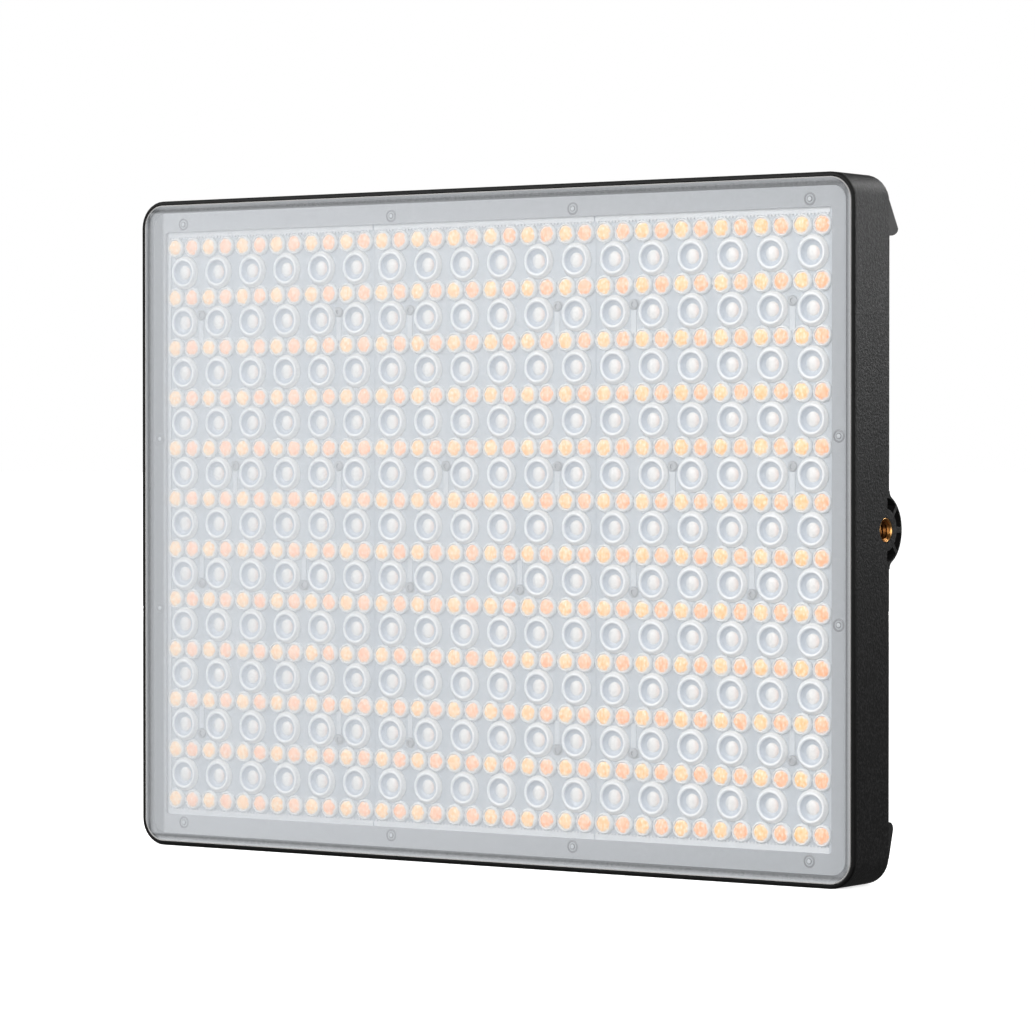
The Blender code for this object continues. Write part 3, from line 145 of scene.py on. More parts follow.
def clear_defaults():
    """Removes the lights and cameras of the start file."""
    for made in list(bpy.data.objects):
        if made.type in ("LIGHT", "CAMERA"):
            bpy.data.objects.remove(made)


# Materials --------------------------------------------------------------------


class Surface:
    """Principled material with helpers that add nodes in front of its sockets."""

    def __init__(self, name, colour, roughness, metallic=0.0):
        self.material = bpy.data.materials.new(name)
        self.material.use_nodes = True
        self.tree = self.material.node_tree
        self.shader = self.tree.nodes["Principled BSDF"]
        self.colour = (*colour, 1)
        self.set("Base Color", self.colour)
        self.set("Roughness", roughness)
        self.set("Metallic", metallic)
        self.place = self.tree.nodes.new("ShaderNodeTexCoord").outputs["Object"]

    def set(self, socket, value):
        self.shader.inputs[socket].default_value = value

    def node(self, kind, **values):
        made = self.tree.nodes.new(kind)
        for key, value in values.items():
            setattr(made, key, value)
        return made

    def link(self, source, target):
        self.tree.links.new(source, target)

    def math(self, operation, first, second=0.0):
        made = self.node("ShaderNodeMath", operation=operation)
        self.feed(made.inputs[0], first)
        self.feed(made.inputs[1], second)
        return made.outputs["Value"]

    def span(self, source, low, high, to_low=0.0, to_high=1.0):
        """A value carried from one range to another, and held at its ends."""
        made = self.node("ShaderNodeMapRange")
        ends = {"From Min": low, "From Max": high, "To Min": to_low, "To Max": to_high}
        for label, value in ends.items():
            made.inputs[label].default_value = value
        self.link(source, made.inputs["Value"])
        return made.outputs["Result"]

    def axis(self, label):
        """One coordinate of the place on the object."""
        split = self.node("ShaderNodeSeparateXYZ")
        self.link(self.place, split.inputs["Vector"])
        return split.outputs[label]

    def inset(self):
        """Distance inside the nearest edge of the panel."""
        sides = []
        for label, half, middle in (("X", HALF_WIDTH, 0.0), ("Z", HALF_HEIGHT, MIDDLE_Z)):
            offset = self.math("SUBTRACT", self.axis(label), middle)
            sides.append(self.math("SUBTRACT", half, self.math("ABSOLUTE", offset)))
        return self.math("MINIMUM", *sides)

    def stretched(self, scale):
        mapping = self.node("ShaderNodeMapping")
        mapping.inputs["Scale"].default_value = scale
        self.link(self.place, mapping.inputs["Vector"])
        return mapping.outputs["Vector"]

    def noise(self, scale, detail=3.0, stretch=None, roughness=0.5):
        made = self.node("ShaderNodeTexNoise")
        made.inputs["Scale"].default_value = scale
        made.inputs["Detail"].default_value = detail
        made.inputs["Roughness"].default_value = roughness
        self.link(self.stretched(stretch) if stretch else self.place, made.inputs["Vector"])
        return made.outputs["Fac"]

    def ramp(self, source, stops):
        made = self.node("ShaderNodeValToRGB")
        elements = made.color_ramp.elements
        while len(elements) < len(stops):
            elements.new(1.0)
        for element, (position, colour) in zip(elements, stops):
            element.position = position
            element.color = (*colour, 1)
        self.link(source, made.inputs["Fac"])
        return made.outputs["Color"]

    def feed(self, socket, value):
        """Links a socket to another node's output, or sets it to a constant."""
        if isinstance(value, bpy.types.NodeSocket):
            self.link(value, socket)
        else:
            socket.default_value = value

    def mix(self, factor, first, second, blend="MIX"):
        made = self.node("ShaderNodeMix", data_type="RGBA", blend_type=blend)
        for label, value in (("Factor", factor), ("A", first), ("B", second)):
            self.feed(made.inputs[label], value)
        return made.outputs["Result"]

    def shade(self, tone, source, dark, high=0.65):
        """Paints a tone that a noise darkens in places."""
        grain = self.ramp(source, [(0.35, (dark,) * 3), (high, (1, 1, 1))])
        self.paint(self.mix(1.0, tone, grain, "MULTIPLY"))

    def attribute(self, label):
        return self.node("ShaderNodeAttribute", attribute_name=label).outputs["Fac"]

    def painted(self):
        """What feeds the base colour at present."""
        socket = self.shader.inputs["Base Color"]
        return socket.links[0].from_socket if socket.is_linked else self.colour

    def bump(self, source, distance, strength):
        """Adds a bump over any bump already there."""
        made = self.node("ShaderNodeBump")
        made.inputs["Distance"].default_value = distance
        made.inputs["Strength"].default_value = strength
        self.link(source, made.inputs["Height"])
        old = self.shader.inputs["Normal"]
        if old.is_linked:
            self.link(old.links[0].from_socket, made.inputs["Normal"])
        self.link(made.outputs["Normal"], old)

    def vary_roughness(self, source, low, high):
        self.link(self.span(source, 0.0, 1.0, low, high), self.shader.inputs["Roughness"])

    def paint(self, source):
        self.link(source, self.shader.inputs["Base Color"])

    def mottle(self, scale, spread):
        """Colour that wanders a little about the base colour."""
        dark = tuple(c * (1 - spread) for c in self.colour[:3])
        light = tuple(min(1.0, c * (1 + spread)) for c in self.colour[:3])
        self.paint(self.ramp(self.noise(scale, 4), [(0.3, dark), (0.7, light)]))

    def painted_edge_highlight(self, colour, strength):
        """Painted highlight: lighter convex edges, over the colour already there."""
        edge = self.node("ShaderNodeNewGeometry").outputs["Pointiness"]
        mask = self.ramp(edge, [(0.52, (0, 0, 0)), (0.62, (strength,) * 3)])
        self.paint(self.mix(mask, self.painted(), (*colour, 1)))


def moulded(name, colour, roughness, grain=2600, relief=0.03 * MM, spread=0.12):
    """Moulded plastic with a fine spark-eroded grain."""
    mat = Surface(name, colour, roughness)
    mat.mottle(900, spread)
    mat.vary_roughness(mat.noise(500, 3), roughness - 0.06, roughness + 0.08)
    mat.bump(mat.noise(grain, 3), relief, 0.6)
    # Painted highlight on the convex edges
    mat.painted_edge_highlight(tuple(min(1, c * 2.4 + 0.01) for c in colour), 0.35)
    return mat.material


# Painted shade: the walls are darker just behind the rim, a painted shadow of the gap there, and
# lighten between these two depths.
GAP_SHADOW_DEPTHS = (1.1 * MM, 1.4 * MM)


def shell_material():
    """Matt black moulding with a coarse spark-eroded grain, painted highlights on its edges and a
    painted shadow behind the rim.
    """
    mat = Surface("shell_plastic", (0.01, 0.01, 0.0102), 0.5)
    speckle = mat.noise(1200, 3, roughness=0.65)
    dark = (0.0015, 0.0015, 0.0015)
    middle = (0.0065, 0.0065, 0.0066)
    light = (0.03, 0.03, 0.0305)
    mat.paint(mat.ramp(speckle, [(0.36, dark), (0.5, middle), (0.68, light)]))
    mat.vary_roughness(mat.noise(900, 3), 0.42, 0.6)
    mat.set("Specular IOR Level", 0.38)
    mat.bump(speckle, 0.2 * MM, 1.0)
    # Painted highlight on the convex edges
    mat.painted_edge_highlight((0.05, 0.05, 0.05), 0.4)
    # Painted shadow of the gap behind the rim, multiplied over the wall colour
    line = mat.span(mat.axis("Y"), FRONT + GAP_SHADOW_DEPTHS[0], FRONT + GAP_SHADOW_DEPTHS[1], 0.06, 1.0)
    mat.paint(mat.mix(1.0, mat.painted(), line, "MULTIPLY"))
    return mat.material


def smooth(name, colour, roughness, spread=0.03):
    """Smooth light plastic of the optics."""
    return moulded(name, colour, roughness, 1500, 0.01 * MM, spread)


def rim_material():
    """Front face of the rim, smoother than the shell."""
    mat = Surface("rim_black", (0.004, 0.0039, 0.0037), 0.55)
    mat.mottle(900, 0.4)
    mat.set("Specular IOR Level", 0.15)
    mat.bump(mat.noise(2200), 0.02 * MM, 0.4)
    return mat.material


def machined(name, colour, roughness, metallic=1.0):
    """Metal with a fine even grain."""
    mat = Surface(name, colour, roughness, metallic)
    mat.mottle(400, 0.1)
    mat.vary_roughness(mat.noise(900, 4), max(0.05, roughness - 0.08), roughness + 0.1)
    mat.bump(mat.noise(1800, 2), 0.01 * MM, 0.5)
    return mat.material


# The sheet hides these shares of what is behind it at its left and right ends; the larger share at
# the left is painted glare, the brighter veil of the sheet seen at a grazing angle there. Its glued
# border, over the gasket, has shares of its own, from its outer edge inwards: larger near the edge,
# where it paints light, and smaller further in, where the painted shade of the gasket shows
# through.
HAZE = (0.3, 0.16)
BORDER_HAZE = (0.44, 0.1)
BORDER = (1.4 * MM, 2.9 * MM)
BORDER_END = (3.3 * MM, 3.9 * MM)


def diffuser_material():
    """Frosted clear sheet."""
    mat = Surface("frosted_sheet", (0.5, 0.53, 0.57), 0.42)
    # Painted glare: the veil is thicker towards the left end
    haze = mat.span(mat.axis("X"), -HALF_WIDTH, HALF_WIDTH, *HAZE)
    inset = mat.inset()
    border = mat.span(inset, *BORDER, *BORDER_HAZE)
    inner = mat.span(inset, *BORDER_END)
    extra = mat.math("MULTIPLY", inner, mat.math("SUBTRACT", haze, border))
    mat.link(mat.math("ADD", border, extra), mat.shader.inputs["Alpha"])
    mat.set("Specular IOR Level", 0.1)
    dark = (0.7, 0.73, 0.76)
    light = (0.74, 0.77, 0.8)
    mat.paint(mat.ramp(mat.noise(2600, 3), [(0.3, dark), (0.7, light)]))
    mat.bump(mat.noise(3200, 2), 0.02 * MM, 0.5)
    mat.vary_roughness(mat.noise(900), 0.5, 0.62)
    return mat.material


def cell_ramp(mat, label, low, high, stops):
    """Colour ramp over a per-lens attribute, with its stops between two values in millimetres."""
    scaled = mat.span(mat.attribute(label), low, high)
    return mat.ramp(scaled, [((place - low) / (high - low), colour) for place, colour in stops])


def lens_material():
    """Clear moulded lens: its tone runs with the distance from each lens's own axis, with painted
    light in the white ring and skirt, where light comes through the clear lens, and painted shade
    over the left side of each lens.
    """
    mat = Surface("moulded_lens", (0.7, 0.72, 0.74), 0.3)
    # Painted light: the ring and skirt are white where light comes through the clear lens
    rim = (1.0, 1.0, 0.99)
    skirt = (0.97, 0.96, 0.94)
    dish = [(0.0, (0.56, 0.59, 0.63)), (2.7, (0.54, 0.58, 0.63)), (3.6, (0.54, 0.58, 0.64))]
    wall = [(3.84, rim), (4.3, rim), (4.42, (0.86, 0.86, 0.86)), (4.75, (0.86, 0.86, 0.85))]
    tone = cell_ramp(mat, "cell_radius", 0.0, 10.0, dish + wall + [(4.95, skirt), (5.5, skirt)])
    # Painted shade over the left side of each lens
    stops = [(-3.8, (0.93, 0.95, 0.98)), (-1.0, (0.96, 0.97, 0.98)), (2.4, (1, 1, 1))]
    side = cell_ramp(mat, "cell_across", -5.0, 5.0, stops)
    mat.paint(mat.mix(1.0, tone, side, "MULTIPLY"))
    mat.vary_roughness(mat.noise(600), 0.22, 0.36)
    mat.bump(mat.noise(1500, 2), 0.01 * MM, 0.4)
    return mat.material


def led_material():
    """Warm white LED seen through its dome, with painted shade on its grey left side, a faint
    painted glow and a peach edge.
    """
    mat = Surface("led_white", (0.95, 0.92, 0.88), 0.3)
    cream = (0.9, 0.85, 0.8)
    peach = (0.92, 0.74, 0.65)
    # Painted shade on the left side of the LED
    painted_shade_side = [(-2.3, (0.6, 0.62, 0.64)), (-1.2, (0.72, 0.72, 0.72)), (-0.7, (0.88, 0.86, 0.83))]
    tone = cell_ramp(mat, "cell_across", -2.5, 2.5, painted_shade_side + [(0.7, cream), (2.0, peach)])
    mat.shade(tone, mat.noise(1500, 2), 0.88, 0.6)
    # Painted glow: a faint emission
    mat.set("Emission Color", (*cream, 1))
    mat.set("Emission Strength", 0.05)
    mat.bump(mat.noise(1800, 2), 0.02 * MM, 0.4)
    return mat.material


def ragged_edge(mat, noise, sway, low, high):
    """From 0 to 1 between two distances from a cell's axis, in millimetres, which a noise moves."""
    wander = mat.span(noise, 0.3, 0.7, -sway, sway)
    return mat.span(mat.math("ADD", mat.attribute("cell_radius"), wander), low, high)


def phosphor_material(name, light, deep):
    """Phosphor seen through a faceted lens: small cells in upright rows, paler at the left with
    painted glare, and a faint painted glow.
    """
    mat = Surface(name, light, 0.35)
    cells = mat.node("ShaderNodeTexVoronoi")
    cells.inputs["Scale"].default_value = 900
    cells.inputs["Randomness"].default_value = 0.7
    mat.link(mat.stretched((1.15, 1, 0.7)), cells.inputs["Vector"])
    cell_colour = mat.ramp(cells.outputs["Distance"], [(0.22, light), (0.46, deep)])
    patch_colour = mat.ramp(mat.noise(700, 2), [(0.4, deep), (0.56, light)])
    both = mat.mix(0.45, cell_colour, patch_colour)
    edge = ragged_edge(mat, mat.noise(650, 2), 0.32, 1.95, 2.6)
    # Painted glare: paler towards the left end of the panel
    pale = mat.span(mat.axis("X"), -HALF_WIDTH, HALF_WIDTH / 2, 0.3, 0.0)
    both = mat.mix(pale, both, (0.88, 0.86, 0.82, 1))
    mat.paint(mat.mix(edge, both, (0.88, 0.88, 0.86, 1)))
    # Painted glow: a faint emission from the phosphor, none at its edge
    glow = mat.mix(pale, (*deep, 1), (0.6, 0.5, 0.4, 1))
    mat.link(mat.mix(edge, glow, (0, 0, 0, 1)), mat.shader.inputs["Emission Color"])
    mat.set("Emission Strength", 0.2)
    mat.bump(cells.outputs["Distance"], 0.05 * MM, 0.4)
    return mat.material


def reflector_material():
    """White frame, in shade beyond the left end of the lenses and a little beyond the right."""
    mat = Surface("reflector_white", (0.46, 0.48, 0.5), 0.45)
    left_bar = [(0.0, (0.07, 0.075, 0.08)), (0.03, (0.1, 0.105, 0.11))]
    middle = [(0.0305, (0.4, 0.41, 0.425)), (0.6, (0.34, 0.35, 0.365))]
    right_bar = [(0.96, (0.31, 0.325, 0.34)), (1.0, (0.27, 0.28, 0.295))]
    across = mat.span(mat.axis("X"), -HALF_WIDTH, HALF_WIDTH)
    mat.shade(mat.ramp(across, left_bar + middle + right_bar), mat.noise(700, 4), 0.94)
    mat.vary_roughness(mat.noise(500), 0.4, 0.52)
    mat.bump(mat.noise(1500), 0.01 * MM, 0.5)
    return mat.material


def pin_material():
    """Moulded pin: light middle, a dark recess around it in painted shade, and a grey outer ring.
    """
    mat = Surface("pin_plastic", (0.4, 0.41, 0.43), 0.45)
    light = (0.5, 0.52, 0.54)
    ring = (0.17, 0.175, 0.18)
    # Painted shade in the recess round the middle
    recess = [(0.75, (0.03, 0.03, 0.032)), (1.4, (0.06, 0.06, 0.065))]
    stops = [(0.0, light), (0.55, light)] + recess + [(1.7, ring), (2.0, ring)]
    tone = cell_ramp(mat, "cell_radius", 0.0, 2.2, stops)
    mat.shade(tone, mat.noise(900, 3), 0.9)
    mat.bump(mat.noise(1500), 0.01 * MM, 0.5)
    return mat.material


def insert_material():
    """Brass with a painted highlight at the mouth and painted shade that darkens down the thread;
    the attribute is the depth below the mouth.
    """
    mat = Surface("brass", (0.8, 0.42, 0.14), 0.3, 1.0)
    # Painted highlight at the mouth, then painted shade deeper down the bore
    mouth = [(0.0, (0.86, 0.5, 0.2)), (0.3, (0.7, 0.34, 0.1))]
    bottom = [(0.9, (0.4, 0.17, 0.045)), (2.6, (0.16, 0.06, 0.016))]
    tone = cell_ramp(mat, "cell_radius", 0.0, 3.0, mouth + bottom)
    mat.shade(tone, mat.noise(1500, 3), 0.8)
    mat.vary_roughness(mat.noise(900), 0.28, 0.42)
    mat.bump(mat.noise(2400), 0.01 * MM, 0.5)
    return mat.material


def blob_material():
    """Painted shadow and blur of a screw seen out of focus: grey in the middle, fading unevenly to
    the lens plate.
    """
    mat = Surface("screw_blur_and_shadow", (0.5, 0.5, 0.5), 0.5)
    edge = ragged_edge(mat, mat.noise(450, 3), 0.7, 0.9, 2.3)
    stops = [(0.0, (0.27, 0.28, 0.29)), (0.5, (0.38, 0.4, 0.42)), (1.0, PLATE_TONE)]
    mat.paint(mat.ramp(edge, stops))
    mat.bump(mat.noise(900, 3), 0.02 * MM, 0.4)
    return mat.material


def foam_material():
    """Grey foam that is lighter near the rim, where the sheet above it lets light in."""
    mat = Surface("gasket_foam", (0.15, 0.15, 0.155), 0.9)
    across = mat.span(mat.inset(), 1.2 * MM, 3.6 * MM)
    stops = [(0.0, (0.3, 0.295, 0.29)), (0.4, (0.17, 0.17, 0.172)), (0.85, (0.07, 0.07, 0.072))]
    mat.shade(mat.ramp(across, stops), mat.noise(1100, 4, roughness=0.7), 0.45, 0.62)
    mat.vary_roughness(mat.noise(600), 0.8, 0.95)
    mat.bump(mat.noise(1300, 3), 0.05 * MM, 0.8)
    return mat.material


def plate_material():
    """Lens plate with faint upright moulding bands."""
    mat = Surface("lens_plate", PLATE_TONE, 0.35)
    streaks = mat.noise(230, 2, stretch=(1, 1, 0.03))
    bands = mat.ramp(streaks, [(0.35, (0.9, 0.92, 0.94)), (0.65, (1, 1, 1))])
    tone = mat.mix(1.0, (*PLATE_TONE, 1), bands, "MULTIPLY")
    mat.shade(tone, mat.noise(900, 3), 0.95)
    mat.vary_roughness(mat.noise(500), 0.3, 0.42)
    mat.bump(mat.noise(1500), 0.01 * MM, 0.5)
    return mat.material


# Mesh helpers -----------------------------------------------------------------

# Edges that turn by more than this many degrees are hard. The rear cover's chamfer turns less.
HARD_ANGLE = 35
COVER_ANGLE = 27


def turned_template(profile, steps, flutes=None, wave=2):
    """Closed body turned about Y from (radius, depth) pairs in millimetres, its ends on the axis.
    Flutes give some rings teeth of a height in millimetres, and each tooth takes wave steps."""
    verts = [(0.0, profile[0][1] * MM, 0.0)]
    faces = []
    rings = []
    for index, (radius, depth) in enumerate(profile[1:-1], 1):
        ring = []
        tooth = (flutes or {}).get(index, 0.0)
        for step in range(steps):
            angle = 2 * math.pi * step / steps
            reach = (radius + tooth * math.cos(2 * math.pi * step / wave)) * MM
            ring.append(len(verts))
            verts.append((reach * math.cos(angle), depth * MM, reach * math.sin(angle)))
        rings.append(ring)
    last = len(verts)
    verts.append((0.0, profile[-1][1] * MM, 0.0))
    for step in range(steps):
        follow = (step + 1) % steps
        faces.append((0, rings[0][step], rings[0][follow]))
        for first, second in zip(rings, rings[1:]):
            faces.append((first[step], second[step], second[follow], first[follow]))
        faces.append((rings[-1][step], last, rings[-1][follow]))
    return np.array(verts), outward(verts, faces)


def outward(verts, faces):
    """Flips the faces if they enclose a negative volume."""
    volume = 0.0
    for face in faces:
        first = Vector(verts[face[0]])
        for second, third in zip(face[1:], face[2:]):
            volume += first.dot(Vector(verts[second]).cross(Vector(verts[third])))
    return faces if volume > 0 else [tuple(reversed(face)) for face in faces]


def ring_faces(count, steps):
    """Faces of a closed chain of rings, each of the same number of points."""
    faces = []
    for ring in range(count):
        follow = (ring + 1) % count
        for step in range(steps):
            beside = (step + 1) % steps
            corners = ((ring, step), (ring, beside), (follow, beside), (follow, step))
            faces.append(tuple(r * steps + k for r, k in corners))
    return faces


def repeated(template, places):
    """Copies a template to each place. Gives vertices, faces and, for each vertex, its distance
    from its own axis and its place across it, both in millimetres."""
    verts, faces = template
    everything = []
    all_faces = []
    for index, place in enumerate(places):
        everything.append(verts + np.array(place))
        start = index * len(verts)
        all_faces += [tuple(corner + start for corner in face) for face in faces]
    reach = np.hypot(verts[:, 0], verts[:, 2]) / MM
    across = verts[:, 0] / MM
    cells = (np.tile(reach, len(places)), np.tile(across, len(places)))
    return np.concatenate(everything), all_faces, cells


def finish_piece(data, material, body, angle, bevel=0.0):
    """Makes an object of a mesh, with its finish, and lets it ride on its body."""
    data.shade_smooth()
    data.set_sharp_from_angle(angle=math.radians(angle))
    data.materials.append(material)
    made = bpy.data.objects.new(data.name, data)
    bpy.context.scene.collection.objects.link(made)
    if bevel:
        soften(made, bevel)
    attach(made, body)
    return made


def mesh_piece(name, verts, faces, material, body=BODY, cells=None, angle=HARD_ANGLE):
    """Piece made of vertices and faces, with up to two attributes for its material in cells."""
    data = bpy.data.meshes.new(name)
    data.from_pydata([tuple(point) for point in verts], [], faces)
    data.update()
    for label, values in zip(("cell_radius", "cell_across"), cells or ()):
        attribute = data.attributes.new(label, "FLOAT", "POINT")
        attribute.data.foreach_set("value", np.asarray(values, np.float32))
    return finish_piece(data, material, body, angle)


def bmesh_piece(name, mesh, material, body=BODY, bevel=0.0):
    bmesh.ops.recalc_face_normals(mesh, faces=mesh.faces)
    data = bpy.data.meshes.new(name)
    mesh.to_mesh(data)
    mesh.free()
    return finish_piece(data, material, body, HARD_ANGLE, bevel)


def soften(target, width, angle=HARD_ANGLE):
    """Rounds the hard edges of a piece, and keeps its flat faces evenly shaded."""
    bevel = target.modifiers.new("soft_edges", "BEVEL")
    bevel.width = width
    bevel.segments = 2
    bevel.limit_method = "ANGLE"
    bevel.angle_limit = math.radians(angle)
    bevel.face_strength_mode = "FSTR_ALL"
    normals = target.modifiers.new("even_normals", "WEIGHTED_NORMAL")
    normals.keep_sharp = False
    normals.use_face_influence = True


def refine(node, material, width):
    """Gives a CAD node its finish, and rounds its hard edges."""
    target = frame["nodes"][node]
    target.data.materials.clear()
    target.data.materials.append(material)
    if width:
        weld = target.modifiers.new("weld", "WELD")
        weld.merge_threshold = 0.001 * MM
        soften(target, width, COVER_ANGLE if node == "rear_cover" else HARD_ANGLE)


BOX_FACES = ((0, 1, 3, 2), (4, 6, 7, 5), (0, 4, 5, 1), (2, 3, 7, 6), (0, 2, 6, 4), (1, 5, 7, 3))


def box(mesh, low, high):
    """Adds a box between two corners."""
    ends = tuple(zip(low, high))
    corners = [mesh.verts.new((x, y, z)) for x in ends[0] for y in ends[1] for z in ends[2]]
    for face in BOX_FACES:
        mesh.faces.new([corners[index] for index in face])


# Lens panels ------------------------------------------------------------------


def panel_centre(name):
    low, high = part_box(f"lens_panel_{name}")
    return (low.x + high.x) / 2


def grid(name, rows, offset=0.0):
    """Places in a lens panel: its columns, moved by a share of their pitch, and some rows."""
    places = []
    for column in range(COLUMNS):
        for row in range(rows):
            x = panel_centre(name) + (column - (COLUMNS - 1) / 2 + offset) * PITCH_X
            places.append((x, LENS_TOP, MIDDLE_Z + (row - (rows - 1) / 2) * PITCH_Z))
    return places


def screw_places(name):
    """Each lens screw's place, with the side on which its rib runs."""
    found = []
    for column, row, side in SCREW_CELLS:
        x = panel_centre(name) + (column - (COLUMNS - 1) / 2) * PITCH_X
        found.append((x, MIDDLE_Z + ((ROWS - 1) / 2 - row) * PITCH_Z, side))
    return found


def lens_plate(name, looks):
    """Plate of a lens panel with its border, which is raised at the outer ends of the grid."""
    low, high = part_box(f"lens_panel_{name}")
    first = name == PANEL_NAMES[0]
    last = name == PANEL_NAMES[-1]
    rise = PLATE_FACE - BORDER_RISE
    sunk = PLATE_FACE + SUNK
    bottom = low.z - WINDOW_GAP
    top = high.z + WINDOW_GAP
    left = low.x + (EDGE_RIM if first else 0)
    right = high.x - (EDGE_RIM if last else SEAM_RIM)
    plate = bmesh.new()
    box(plate, (low.x, PLATE_FACE, low.z), (high.x, high.y, high.z))
    seam = rise if last else PLATE_FACE - SEAM_RISE
    box(plate, (right, seam, bottom), (high.x + WINDOW_GAP, sunk, top))
    strips = bmesh.new()
    if first:
        box(strips, (low.x - WINDOW_GAP, rise, bottom), (left, sunk, top))
    box(strips, (left, rise, high.z - STRIP), (right, sunk, top))
    box(strips, (left, rise, bottom), (right, sunk, low.z + STRIP))
    for step in range(int((right - left) / TOOTH_PITCH)):
        x = left + (step + 0.25) * TOOTH_PITCH
        for edge, side in ((high.z - STRIP, -1), (low.z + STRIP, 1)):
            ends = sorted((edge, edge + side * TOOTH_REACH))
            inner = (x, rise + TOOTH_DROP, ends[0])
            box(strips, inner, (x + TOOTH_SHARE * TOOTH_PITCH, PLATE_FACE + TOOTH_SUNK, ends[1]))
    bmesh_piece(f"lens_strips_{name}", strips, looks["strip"])
    piece = bmesh_piece(f"lens_plate_{name}", plate, looks["lens_plate"])
    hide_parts(f"lens_panel_{name}")


def lens_ribs(name, looks):
    """Upright rib from each lens screw."""
    ribs = bmesh.new()
    for x, z, side in screw_places(name):
        start, end = sorted(z + side * reach for reach in RIB_ENDS)
        inner = (x - RIB_HALF, PLATE_FACE - RIB_RISE, start)
        box(ribs, inner, (x + RIB_HALF, PLATE_FACE + SUNK, end))
    bmesh_piece(f"lens_ribs_{name}", ribs, looks["rib"], bevel=0.15 * MM)


# How far the small lenses of each phosphor stand from the columns, as shares of their pitch
PHOSPHOR_OFFSETS = {"amber": -0.25, "orange": 0.25}


def lens_cells(name, looks):
    """Collimators over white LEDs, and between their rows small lenses over two phosphors."""
    pairs = {tone: grid(name, ROWS + 1, offset) for tone, offset in PHOSPHOR_OFFSETS.items()}
    big = turned_template(BIG_PROFILE, BIG_STEPS, BIG_FLUTES)
    small = turned_template(SMALL_PROFILE, SMALL_STEPS, SMALL_FLUTES, SMALL_WAVE)
    led = turned_template(LED_PROFILE, LED_STEPS)
    core = turned_template(CORE_PROFILE, SMALL_STEPS, CORE_FLUTES, CORE_WAVE)
    for label, template, places, look, slot in (
        ("collimators", big, grid(name, ROWS), "lens", "lens_clear"),
        ("small_lenses", small, pairs["amber"] + pairs["orange"], "small_lens", "lens_clear"),
        ("white_leds", led, grid(name, ROWS), "led", "led_board"),
        ("amber_leds", core, pairs["amber"], "amber", "led_board"),
        ("orange_leds", core, pairs["orange"], "orange", "led_board"),
    ):
        verts, faces, cells = repeated(template, places)
        mesh_piece(f"{label}_{name}", verts, faces, looks[look], cells=cells, angle=60)


def lens_screws(name, looks):
    """Screw heads of a lens panel and the discs of painted shadow and blur around them."""
    places = [(x, PLATE_FACE, z) for x, z, _ in screw_places(name)]
    points, corners = turned_template(BLOB_PROFILE, BLOB_STEPS)
    # Painted shadow and blur round each screw, on a thin disc
    shadow_disc = (points * np.array((1, 1, BLOB_SQUASH)), corners)
    verts, faces, cells = repeated(shadow_disc, places)
    mesh_piece(f"screw_shadow_discs_{name}", verts, faces, looks["blob"], cells=cells)
    verts, faces, _ = repeated(turned_template(HEAD_PROFILE, HEAD_STEPS), places)
    mesh_piece(f"lens_screws_{name}", verts, faces, looks["lens_screw"])


PIN_STEPS = 24
PIN_PROFILE = (
    (0, 1), (1.9, 1), (1.95, 0), (1.8, -0.12), (1.45, -0.14), (1.25, 0.3), (0.95, 0.3),
    (0.85, -0.1), (0.7, -0.16), (0, -0.2),
)
PIN_OFFSETS = ((115.6 * MM, 95 * MM), (33.6 * MM, 95 * MM), (125.3 * MM, 27 * MM))


def reflector_pins(look):
    """Twelve pins of the reflector frame, four for each pair of offsets, with raised middles."""
    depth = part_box("reflector_frame")[0].y
    places = []
    for across, up in PIN_OFFSETS:
        places += [(sx * across, depth, MIDDLE_Z + sz * up) for sx in (-1, 1) for sz in (-1, 1)]
    verts, faces, cells = repeated(turned_template(PIN_PROFILE, PIN_STEPS), places)
    mesh_piece("reflector_pins", verts, faces, look, cells=cells, angle=60)


# Back and sides ---------------------------------------------------------------

THREAD_PITCH = 1.27 * MM
THREAD_ROW = 0.11 * MM
THREAD_CREST = 2.6 * MM
THREAD_ROOT = 3.14 * MM
INSERT_RADIUS = 3.46 * MM
INSERT_CHAMFER = 0.05 * MM
MOUTH_RADIUS = 3.28 * MM
SEAT_DEPTH = 0.2 * MM
MOUTH_DEPTH = 0.35 * MM
THREAD_FADE = 0.4 * MM
CREST_SHARE = 1.25
TURN_STEPS = 48


